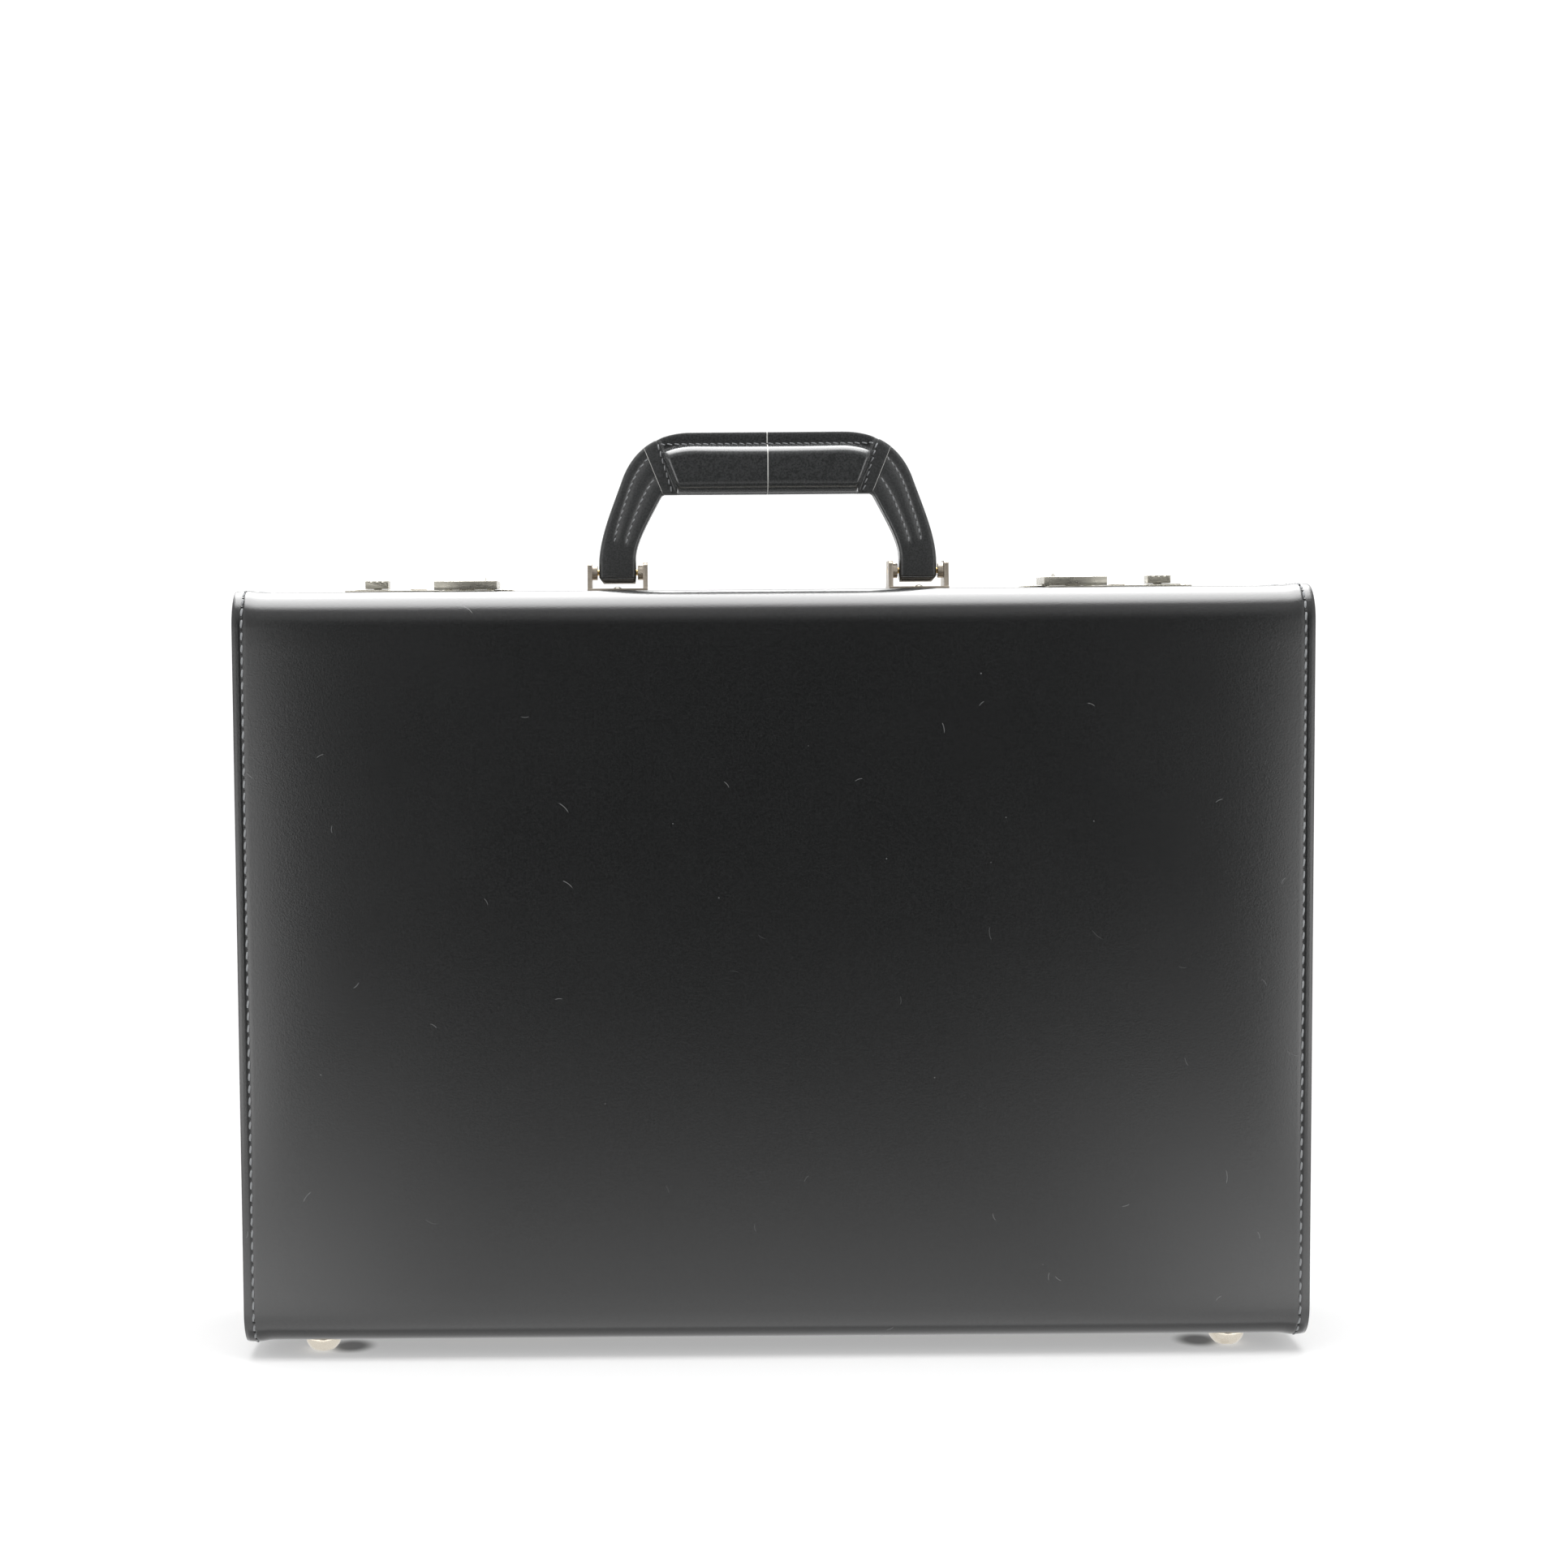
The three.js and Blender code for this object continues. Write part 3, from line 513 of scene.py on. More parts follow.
def walk(line, pitch, margin):
    """Evenly spaced (point, direction, normal) along a list of (point, normal)."""
    lengths = [0.0]
    for (a, _), (b, _) in zip(line, line[1:]):
        lengths.append(lengths[-1] + (b - a).length)
    count = int((lengths[-1] - 2 * margin) // pitch)
    first = (lengths[-1] - count * pitch) / 2
    k = 0
    for n in range(count + 1):
        distance = first + n * pitch
        while k < len(lengths) - 2 and lengths[k + 1] < distance:
            k += 1
        (a, normal_a), (b, normal_b) = line[k], line[k + 1]
        t = (distance - lengths[k]) / max(1e-9, lengths[k + 1] - lengths[k])
        yield a.lerp(b, t), (b - a).normalized(), normal_a.lerp(normal_b, t).normalized()


# along the stitch, share of the radius, height above the surface in radii
HALF_STITCH = ((0.18, 1.0, 0.1), (0.4, 0.8, -0.3), (0.5, 0.3, -1.0))
STITCH_RINGS = [(-along, share, height) for along, share, height in reversed(HALF_STITCH)]
STITCH_RINGS += HALF_STITCH
STITCH_SIDES = 7
STITCH_FLATNESS = 0.8
HOLE_SIDES = 8


def add_stitch(builder, point, direction, normal, length, radius, slant):
    direction = (direction + slant * direction.cross(normal)).normalized()
    across = direction.cross(normal).normalized()
    rows = []
    for along, share, height in STITCH_RINGS:
        centre = point + direction * (along * length) + normal * (height * radius)
        rows.append(ring(centre, across, normal * STITCH_FLATNESS, radius * share, STITCH_SIDES))
    builder.add_tube(rows)


def add_hole(builder, point, direction, normal, radius):
    """A dark dimple where the needle went in."""
    across = direction.cross(normal).normalized()
    rim = ring(point, across, direction, radius, HOLE_SIDES)
    deep = ring(point - normal * radius, across, direction, radius * 0.5, HOLE_SIDES)
    builder.add_tube([rim, deep], lambda row, column: 1, 1)


def sew(name, lines, body, slot, thread_material, pitch, length, radius, slant=0.12, margin=2 * MM):
    builder = Builder()
    rng = random.Random(name)
    for line in lines:
        for point, direction, normal in walk(line, pitch, margin):
            lean = slant + rng.uniform(-0.04, 0.04)
            size = length * rng.uniform(0.94, 1.04)
            add_stitch(builder, point, direction, normal, size, radius, lean)
            add_hole(builder, point + direction * (pitch / 2), direction, normal, radius * 0.9)
    return show(name, builder.mesh(name), body, slot, [thread_material, HOLE])


# ------------ shells


class Shell:
    """One half of the case, measured from its leather cover."""

    def __init__(self, body, inward):
        low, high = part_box(f"{body}_leather_cover")
        self.body = body
        self.inward = inward
        self.half_width = high.x
        self.face_y = low.y if inward > 0 else high.y
        self.edge_y = high.y if inward > 0 else low.y
        self.low = low.z
        self.high = high.z

    def path(self):
        """(point, normal, share of face) from the parting plane over the top, down the face and back."""
        steps = []
        radius = CORNER_RADIUS
        bend_y = self.face_y + self.inward * radius
        depth = abs(self.edge_y - bend_y)
        for share in (0, 0.3 * MM / depth, 1.0 * MM / depth, 0.12, 0.3, 0.55, 0.8):
            y = lerp(self.edge_y, bend_y, share)
            steps.append((Vector((0, y, self.high)), Vector((0, 0, 1)), 0.0))
        count = 12
        centre = Vector((0, bend_y, self.high - radius))
        for k, a in enumerate(quarter(count)):
            normal = Vector((0, -self.inward * math.sin(a), math.cos(a)))
            steps.append((centre + normal * radius, normal, smoothstep(k / count)))
        middle = (self.low + self.high) / 2
        half = middle - self.low - radius
        for k in range(1, 15):
            z = middle + half * (1 - k / 15)
            steps.append((Vector((0, self.face_y, z)), Vector((0, -self.inward, 0)), 1.0))
        steps.append((Vector((0, self.face_y, middle)), Vector((0, -self.inward, 0)), 1.0))
        lower = []
        for point, normal, share in reversed(steps[:-1]):
            flipped = Vector((0, point.y, 2 * middle - point.z))
            lower.append((flipped, Vector((0, normal.y, -normal.z)), share))
        return steps + lower


def sheet_relief(distance, share):
    """Height of the leather above the plain shell, by distance in from the stitch line."""
    crown = FACE_CROWN * (1 - math.exp(-max(0.0, distance) / FACE_CROWN_REACH))
    lip = LIP_RISE * (1 - smoothstep(distance / LIP_REACH))
    groove = GROOVE_DEPTH * math.exp(-((distance / GROOVE_WIDTH) ** 2) * 3)
    tilt = FLANGE_TILT * max(0.0, -distance)
    return lerp(lip, crown, share) - groove - tilt


def sheet_columns(half_width):
    """(x, extra height) across the cover, close together at the rounded edge and the stitch line."""
    stitch = half_width - FLANGE_INSET
    outer = [
        (half_width, -EDGE_ROUND), (half_width - 0.1 * MM, -0.3 * EDGE_ROUND), (half_width - 0.45 * MM, 0.0),
    ]
    near = [stitch + d * MM for d in (2.4, 1.3, 0.8, 0.4, 0, -0.4, -0.8, -1.4, -2.2, -3.4, -5, -7)]
    far = [stitch - d * MM for d in (9.5, 12.5, 16, 20, 25, 32, 42, 56, 75, 100, 130, 160, 190)]
    half = outer + [(x, 0.0) for x in near + far]
    return half + [(-x, extra) for x, extra in reversed(half)]


def cover_mesh(shell):
    path = shell.path()
    columns = sheet_columns(shell.half_width)
    stitch = shell.half_width - FLANGE_INSET
    ends = {0: -EDGE_ROUND, 1: -0.25 * EDGE_ROUND}
    outer, inner = [], []
    for i, (point, normal, share) in enumerate(path):
        at_end = ends.get(min(i, len(path) - 1 - i), 0.0)
        outer_row, inner_row = [], []
        for x, extra in columns:
            height = sheet_relief(stitch - abs(x), share) + min(extra, at_end)
            outer_row.append(point + normal * height + Vector((x, 0, 0)))
            inner_row.append(point - normal * SHEET + Vector((x, 0, 0)))
        outer.append(outer_row)
        inner.append(inner_row)
    builder = Builder()
    last = len(columns) - 2
    top = builder.add_grid(outer, slot_of=lambda row, column: 0 if 1 < column < last - 1 else 1)
    under = builder.add_grid(inner)
    for i in range(len(path) - 1):
        for j in (0, -1):
            builder.add_face((top[i][j], top[i + 1][j], under[i + 1][j], under[i][j]), 1)
    for j in range(len(columns) - 1):
        for i in (0, -1):
            builder.add_face((top[i][j], top[i][j + 1], under[i][j + 1], under[i][j]), 1)
    return builder.mesh(f"{shell.body}_cover")


def cut_out(piece, *boxes):
    """Cuts upright boxes, given as (low corner, high corner), out of a piece."""
    for low, high in boxes:
        mesh = bpy.data.meshes.new("tool")
        place = Matrix.Translation((low + high) / 2) @ Matrix.Diagonal((*(high - low), 1))
        with edited(mesh) as bm:
            bmesh.ops.create_cube(bm, size=1, matrix=place)
        tool = add_object("tool", mesh)
        modifier = piece.modifiers.new("cut", "BOOLEAN")
        modifier.object = tool
        modifier.solver = "EXACT"
        bake(piece)
        bpy.data.objects.remove(tool)


SLOT_HALF = 2.2 * MM  # half the width of the hole for a slide button's stem
BARREL_PLAY = 0.6 * MM  # room round a key barrel


def lock_holes():
    """Boxes above the bolts round the slide buttons' stems and the key barrels, with room to slide."""
    holes = []
    for name, side in SIDES.items():
        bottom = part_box(f"lock_bolt_{name}")[1].z
        button_low, button_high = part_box(f"slide_button_{name}")
        middle = (button_low + button_high) / 2
        xs = sorted((middle.x - side * SLOT_HALF, middle.x + side * (SLOT_HALF + BUTTON_TRAVEL)))
        top = button_high.z - 1 * MM
        near, far = middle.y - SLOT_HALF, middle.y + SLOT_HALF
        holes.append((Vector((xs[0], near, bottom)), Vector((xs[1], far, top))))
        key_low, key_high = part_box(f"key_barrel_{name}")
        y = (key_low.y + key_high.y) / 2
        radius = (key_high.y - key_low.y) / 2 + BARREL_PLAY
        x = key_low.x + radius if side > 0 else key_high.x - radius
        holes.append((Vector((x - radius, y - radius, bottom)), Vector((x + radius, y + radius, top))))
    return holes


def make_cover(shell):
    body = shell.body
    materials = [LEATHER, EDGE_PAINT]
    piece = show(f"{body}_cover", cover_mesh(shell), body, "leather", materials, [f"{body}_leather_cover"])
    if body == "base":
        cut_out(piece, *lock_holes())


def make_edge_stitching(shell):
    """Stitches in the groove of both sewn flanges."""
    lines = []
    for side in SIDES.values():
        offset = Vector((side * (shell.half_width - FLANGE_INSET), 0, 0))
        line = []
        for point, normal, share in shell.path():
            height = sheet_relief(0.0, share) + EDGE_STITCH[2] * 0.35
            line.append((point + normal * height + offset, normal))
        lines.append(line)
    name = f"{shell.body}_edge_stitching"
    sew(name, lines, shell.body, "leather", GREY_THREAD, *EDGE_STITCH, margin=3 * MM)


END_FILLET = 2.2 * MM
END_CROWN = 1.2 * MM
LAYER_GAP = 0.1 * MM


def end_panel_mesh(shell, name, side):
    """A recessed end panel whose border turns out and lies against the cover's flange."""
    path = shell.path()
    low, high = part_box(f"{shell.body}_end_panel_{name}")
    panel_x = min(abs(low.x), abs(high.x)) + SHEET  # outer face of the panel
    rim_x = shell.half_width - 0.4 * MM
    fold = SHEET + LAYER_GAP  # outer face of the turned flange, under the cover
    deep = fold + SHEET
    profile = [
        (deep, panel_x - SHEET),
        (fold, panel_x - SHEET),
        (fold, panel_x + 1 * MM),
        (fold, rim_x - 0.5 * MM),
        (fold + 0.3 * MM, rim_x),
        (deep - 0.3 * MM, rim_x),
        (deep, rim_x - 0.5 * MM),
        (deep, panel_x + END_FILLET),
    ]
    for a in quarter(5)[1:]:
        profile.append((deep + END_FILLET * (1 - math.cos(a)), panel_x + END_FILLET * (1 - math.sin(a))))

    def outline(inset, x):
        return [p - n * inset + Vector((side * x, 0, 0)) for p, n, _ in path]

    builder = Builder()
    builder.add_grid([outline(*step) for step in profile])
    count = len(path)
    half = count // 2
    border = outline(profile[-1][0], panel_x)
    rows = []
    depth_span = abs(shell.edge_y - shell.face_y)
    columns = 24
    for i in range(half + 1):
        upper, lower = border[i], border[count - 1 - i]
        row = []
        for j in range(columns + 1):
            point = upper.lerp(lower, j / columns)
            swell = math.sin(math.pi * min(1.0, abs(point.y - border[half].y) / depth_span))
            ends = smoothstep(min(j, columns - j) / 3)
            row.append(point + Vector((side * END_CROWN * swell * ends, 0, 0)))
        rows.append(row)
    flat = [row for i, row in enumerate(rows) if abs(border[i].y - border[half].y) > 1e-7]
    builder.add_grid(flat)
    return builder.mesh(f"{shell.body}_end_{name}")


def make_end_panels(shell):
    body = shell.body
    materials = [LEATHER, EDGE_PAINT]
    for name, side in SIDES.items():
        mesh = end_panel_mesh(shell, name, side)
        show(f"{body}_end_{name}", mesh, body, "leather", materials, [f"{body}_end_panel_{name}"])


# ------------ metal fittings


def softened(node, width, material, slot):
    """A fitting with its CAD shape and small rounded edges."""
    source = frame["nodes"][node]
    mesh = source.data.copy()
    limit = math.radians(35)
    with edited(mesh) as bm:
        bmesh.ops.remove_doubles(bm, verts=bm.verts, dist=2e-6)
        bmesh.ops.dissolve_limit(bm, angle_limit=math.radians(1), verts=bm.verts, edges=bm.edges)
        sharp = [e for e in bm.edges if len(e.link_faces) == 2 and e.calc_face_angle(0) > limit]
        bmesh.ops.bevel(
            bm, geom=sharp, offset=width, offset_type="OFFSET", segments=2, profile=0.5,
            affect="EDGES", clamp_overlap=True,
        )
        for face in bm.faces:
            face.smooth = True
    mesh.materials.clear()
    mesh.set_sharp_from_angle(angle=math.radians(28))
    return show(f"{node}_fitting", mesh, source["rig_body"], slot, [material], [node])


def make_fittings():
    table = {
        "lock_plate": (0.25, NICKEL, "nickel"),
        "hasp": (0.2, NICKEL, "nickel"),
        "slide_button": (0.15, NICKEL, "nickel"),
        "strike_plate": (0.2, NICKEL, "nickel"),
        "handle_bracket": (0.2, BRACKET_NICKEL, "nickel"),
        "hinge_base_leaf": (0.2, PATINA, "nickel"),
        "hinge_lid_leaf": (0.2, PATINA, "nickel"),
        "key_barrel": (0.2, KEY_METAL, "brass"),
        "stay_lower_link": (0.3, STEEL, "steel"),
        "stay_upper_link": (0.3, STEEL, "steel"),
        "stay_base_bracket": (0.25, STEEL, "steel"),
        "stay_lid_bracket": (0.25, STEEL, "steel"),
        "stay_knee_rivet": (0.2, STEEL, "steel"),
        "lock_case": (0.4, STEEL, "steel"),
        "lock_bolt": (0.3, BRASS, "brass"),
    }
    for stem, (width, material, slot) in table.items():
        for name in SIDES:
            softened(f"{stem}_{name}", width * MM, material, slot)
    for body in ("lid", "base"):
        softened(f"{body}_rim", 0.25 * MM, RIM_METAL, "rim_metal")


def dress_plain_nodes():
    """Procedural materials for the CAD nodes that stay as they are."""
    table = {
        "base_frame": BOARD, "lid_frame": BOARD, "handle_core": STEEL,
        "hinge_pin": PATINA, "hasp_pin": STEEL, "handle_pin": BRASS,
    }
    for stem, material in table.items():
        for node, piece in frame["nodes"].items():
            if node == stem or node in (f"{stem}_left", f"{stem}_right"):
                piece.data.materials.clear()
                piece.data.materials.append(material)
                for face in piece.data.polygons:
                    face.use_smooth = False


def make_springs():
    """Bolt springs: the CAD coils in steel, shaded smooth."""
    for name, side in SIDES.items():
        node = f"bolt_spring_{name}"
        mesh = frame["nodes"][node].data.copy()
        mesh.materials.clear()
        clean(mesh, 50)
        piece = show(f"spring_{name}", mesh, "base", "steel", [STEEL], [node])
        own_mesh(piece)


def make_feet():
    for place, body in (("front", "lid"), ("back", "base")):
        for name in SIDES:
            node = f"foot_{place}_{name}"
            low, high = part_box(node)
            radius = (high.x - low.x) / 2
            profile = [(0, 0), (STUD_TIP - 0.8 * MM, 0), (STUD_TIP, 0.25 * MM)]
            for k in range(1, 9):
                t = k / 8
                flare = lerp(STUD_TIP, radius, 1 - (1 - t) ** 2.2)
                profile.append((flare, lerp(0.25 * MM, STUD_TOP - 1 * MM, t)))
            profile += [(radius, STUD_TOP - 0.5 * MM), (radius - 0.3 * MM, STUD_TOP)]
            profile += [(STUD_POST, STUD_TOP), (STUD_POST, high.z), (0, high.z)]
            mesh = lathe(f"stud_{place}_{name}", profile)
            mesh.transform(Matrix.Translation(((low.x + high.x) / 2, (low.y + high.y) / 2, 0)))
            show(f"stud_{place}_{name}", mesh, body, "nickel", [STUD_NICKEL], [node])


def rivets(name, places, body, radius, height, material):
    """Domed rivet heads, which hang down where the height is negative."""
    builder = Builder()
    x, y, z = Matrix.Identity(3)
    for place in places:
        rows = []
        for a in quarter(5):
            centre = Vector(place) + z * (height * math.sin(a))
            rows.append(ring(centre, x, y, max(1e-6, radius * math.cos(a)), 24))
        indices = builder.add_grid(rows, around=True)
        builder.add_face(tuple(reversed(indices[0])))
    show(name, builder.mesh(name), body, "nickel", [material])


# levels of the rivets, from the underside of a plate or bracket and from the top of a hinge leaf
PLATE_RIVETS = 1.0 * MM
BRACKET_RIVETS = 1.2 * MM
HINGE_RIVETS = 1.4 * MM


def make_rivets():
    """Four on each lock plate, two on each handle bracket and three on each hinge leaf."""
    for name in SIDES:
        low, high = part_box(f"lock_plate_{name}")
        middle = (low.y + high.y) / 2
        plate_top = low.z + PLATE_RIVETS
        xs = (low.x + 3.4 * MM, high.x - 3.4 * MM)
        ys = (middle - 6.3 * MM, middle + 6.3 * MM)
        corners = [(x, y, plate_top) for x in xs for y in ys]
        rivets(f"lock_rivets_{name}", corners, "base", 1.3 * MM, 0.5 * MM, NICKEL)
        low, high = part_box(f"handle_bracket_{name}")
        middle = (low.x + high.x) / 2
        foot_top = low.z + BRACKET_RIVETS
        pair = [(middle, y, foot_top) for y in (low.y + 2.4 * MM, high.y - 2.4 * MM)]
        rivets(f"bracket_rivets_{name}", pair, "base", 1.6 * MM, 0.7 * MM, NICKEL)
        for leaf, body in (("hinge_base_leaf", "base"), ("hinge_lid_leaf", "lid")):
            low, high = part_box(f"{leaf}_{name}")
            y = high.y - 5 * MM if body == "base" else low.y + 5 * MM
            under = high.z - HINGE_RIVETS
            line = [(lerp(low.x, high.x, share), y, under) for share in (0.14, 0.5, 0.86)]
            rivets(f"{leaf}_rivets_{name}", line, body, 1.8 * MM, -0.6 * MM, PATINA)


# ------------ handle


def outer_curve(t):
    """Right half of the arch's outside, from beside the pin (t 0) to the middle of the top (t 1)."""
    x, top = ARM_OUTER, GRIP_TOP
    points = [(x, 5), (x - 0.7 * MM, 16), (x - 5.8 * MM, 27.1), (x - 10.2 * MM, 39.4)]
    knots = [Vector((a, b * MM)) for a, b in points]
    straight = x - 38.5 * MM
    over = [
        knots[3], Vector((x - 14.6 * MM, 50.3 * MM)), Vector((x - 24 * MM, top)), Vector((straight, top)),
    ]
    if t < 0.4:
        return bezier(*knots, t / 0.4)
    if t < 0.75:
        return bezier(*over, (t - 0.4) / 0.35)
    return Vector((lerp(straight, 0.0, (t - 0.75) / 0.25), top))


def inner_curve(t):
    """Right half of the arch's inside, from beside the pin (t 0) to the middle (t 1)."""
    x, bottom = ARM_INNER, GRIP_BOTTOM
    knots = [
        Vector((x, 5 * MM)), Vector((x - 0.1 * MM, 11.9 * MM)),
        Vector((x - 4.1 * MM, 18.8 * MM)), Vector((x - 11.3 * MM, bottom)),
    ]
    if t < 0.45:
        return bezier(*knots, t / 0.45)
    return Vector((lerp(x - 11.3 * MM, 0.0, (t - 0.45) / 0.55), bottom))


SEAM_T = 0.552  # where the slanting seam meets the outside curve
SEAM_INNER_T = 0.449
SEWN_T = 0.617  # where the cross stitches meet it
SEWN_INNER_T = 0.503
ARM_HALF = 4.2 * MM
TAB_HALF = 4.8 * MM
ARM_EDGE = 1.5 * MM
PIN_WRAP = 4.8 * MM  # the arm's rounded end, below the pin
WRAP_FLAT = 2.2 * MM
WRAP_CHAMFER = 1.9 * MM
FOLD_LINE = 2.4  # millimetres below the pin


def place_on_handle(side, flat, y):
    """A point from the (x, height above the pins) plane of the right half and a depth."""
    return PIN + Vector((side * flat.x, y, flat.y))


def stitch_shares(s):
    """Shares across an arm, from its outside, of its two stitch rows."""
    return lerp(0.37, 0.22, s), lerp(0.68, 0.62, s)


def arm_section(side, outer, inner, half, s):
    """A ring of points round an arm between an outside and an inside point."""
    width = (outer - inner).length
    across = (inner - outer) / width
    edge = min(ARM_EDGE, half * 0.6)
    rows = stitch_shares(s)
    sewn = smoothstep((s - GROOVE_START + 0.04) / 0.1)
    front = []
    for a in quarter(5):
        front.append((edge * (1 - math.cos(a)), half - edge + edge * math.sin(a)))
    for index, share in enumerate(rows):
        for offset, dip in ((-0.9, 0.0), (-0.4, 0.15), (0.0, 0.3), (0.4, 0.15), (0.9, 0.0)):
            front.append((share * width + offset * MM, half - dip * sewn * MM))
        if index == 0:
            middle = (rows[0] + rows[1]) / 2 * width
            front.append((middle, half + 0.15 * sewn * MM))
    for a in reversed(quarter(5)):
        front.append((width - edge * (1 - math.cos(a)), half - edge + edge * math.sin(a)))
    around = [(w, -y) for w, y in front] + [(w, y) for w, y in reversed(front)]
    return [place_on_handle(side, outer + across * w, y) for w, y in around]


ARM_STEPS = 30
GROOVE_START = 0.20


def arm_pairs():
    """(outside, inside, half thickness, share of the way) up an arm from its rounded end."""
    pairs = []
    for below in (4.75, 4.6, 4.3, 3.8, 3.2, 2.7, FOLD_LINE, 2.1, 1.6, 0.0, -2.5):
        height = -below * MM
        turned = max(0.0, (-height - WRAP_FLAT) / (PIN_WRAP - WRAP_FLAT))
        half = (ARM_HALF + 0.1 * MM) * math.sqrt(max(0.0, 1 - turned**2.4))
        if below == FOLD_LINE:
            half -= 0.3 * MM
        outer = Vector((ARM_OUTER - WRAP_CHAMFER * turned, height))
        inner = Vector((ARM_INNER + 0.3 * MM * turned, height))
        pairs.append((outer, inner, max(half, 0.4 * MM), 0.0))
    for k in range(ARM_STEPS + 1):
        t = k / ARM_STEPS
        pairs.append((outer_curve(t * (SEAM_T + 0.02)), inner_curve(t * (SEAM_INNER_T + 0.01)), ARM_HALF, t))
    return pairs


def make_arms():
    for name, side in SIDES.items():
        builder = Builder()
        builder.add_tube([arm_section(side, *pair) for pair in arm_pairs()])
        mesh = builder.mesh(f"arm_{name}")
        show(f"arm_{name}", mesh, "handle", "leather", [ARM_LEATHER], [f"handle_arm_{name}"])


def grip_pair(v):
    """Outside and inside points of the grip's section at v, from -1 (left seam) to 1 (right seam)."""
    side = 1 if v >= 0 else -1
    t = abs(v)
    outer = outer_curve(lerp(1.0, SEAM_T, t))
    inner = inner_curve(lerp(1.0, SEAM_INNER_T, t))
    return side, outer, inner


def grip_half_sections(height):
    """Matching half outlines, from top middle to bottom middle: the flat tab and the padded body."""
    flange, shoulder, under, reach = 5.5 * MM, 4.6 * MM, 6.2 * MM, 7.6 * MM
    thin, full = STRIP_HALF, 10 * MM
    tab, body = [], []

    def add(tab_point, body_point):
        tab.append(tab_point)
        body.append(body_point)

    for k in range(4):
        t = k / 3
        add((TAB_HALF * 0.8 * t, height), (thin * 0.85 * t, height))
    for k in range(6):
        t = k / 5
        level = height - lerp(0.4 * MM, flange, t)
        round_off = 0.12 * MM * (1 if k == 0 else 0)
        add((TAB_HALF - round_off * 3, level), (thin - round_off, level))
    for a in quarter(10)[1:]:
        level = height - flange - shoulder * (1 - math.cos(a))
        add((TAB_HALF, level), (lerp(thin, full, math.sin(a)), level))
    top_of_side = height - flange - shoulder
    for k in range(1, 6):
        level = lerp(top_of_side, under, k / 6)
        add((TAB_HALF, level), (full, level))
    for a in quarter(10):
        level = under * (1 - math.sin(a))
        edge = TAB_HALF * (1 - 0.35 * (1 - math.cos(a)) ** 2)
        add((edge, level), (lerp(full - reach, full, math.cos(a)), level))
    add((TAB_HALF * 0.35, 0.0), ((full - reach) * 0.5, 0.0))
    add((0.0, 0.0), (0.0, 0.0))
    return tab, body


GRIP_SEWN = 1 - (SEWN_T - SEAM_T) / (1 - SEAM_T)  # share of half the grip up to its cross stitches
GRIP_SWELL = 0.05  # share of half the grip over which the padding rises to full thickness
SEAM_STRIP = 0.993  # the raw edge starts here
HAIRLINE = 0.0032  # half the width of the middle joint
SEWN_STRIP = 7 * MM  # height of the thin strip along the top of the grip
STRIP_HALF = 2.7 * MM
SEAM_LEAN = 0.4  # the cross stitches lean inwards on their way down


def grip_rows():
    steps = [0.0, HAIRLINE, 0.010]
    steps += [lerp(0.010, 0.72, k / 22) for k in range(1, 23)]
    steps += [lerp(0.72, 0.88, k / 14) for k in range(1, 15)]
    steps += [lerp(0.88, 0.985, k / 5) for k in range(1, 6)]
    steps += [SEAM_STRIP, 1.0]
    return [-v for v in reversed(steps[1:])] + steps


def grip_fullness(v):
    t = (GRIP_SEWN - abs(v)) / GRIP_SWELL
    t = min(1.0, max(0.0, t))
    return math.sqrt(1 - (1 - t) ** 2)


def grip_ring(v):
    side, outer, inner = grip_pair(v)
    height = (outer - inner).length
    up = (outer - inner) / height
    fullness = grip_fullness(v)
    tab, body = grip_half_sections(height)
    lip = -0.12 * MM if abs(v) > 0.9999 else 0.0
    half = []
    for (ya, za), (yb, zb) in zip(tab, body):
        y = lerp(ya, yb, fullness)
        z = lerp(za, zb, fullness)
        half.append((max(0.0, y + lip if y > 1e-6 else y), z))
    front = [place_on_handle(side, inner + up * z, -y) for y, z in half]
    back = [place_on_handle(side, inner + up * z, y) for y, z in half[1:-1]]
    return front + list(reversed(back))


def spread(moves, mesh, pinned, rounds):
    """Averages each point's move with its neighbours' moves, so that the padding has no creases."""
    near = [[] for _ in moves]
    for edge in mesh.edges:
        a, b = edge.vertices
        near[a].append(b)
        near[b].append(a)
    held = set(pinned)
    for _ in range(rounds):
        moves = [
            Vector() if k in held else sum((moves[n] for n in near[k]), moves[k].copy()) / (len(near[k]) + 1)
            for k in range(len(moves))
        ]
    return moves


CLOTH_FRAMES = 20
CLOTH = {
    "quality": 8, "mass": 0.2, "tension_stiffness": 25, "compression_stiffness": 25, "shear_stiffness": 12,
    "bending_stiffness": 1.5, "use_pressure": True, "vertex_group_mass": "sewn",
}


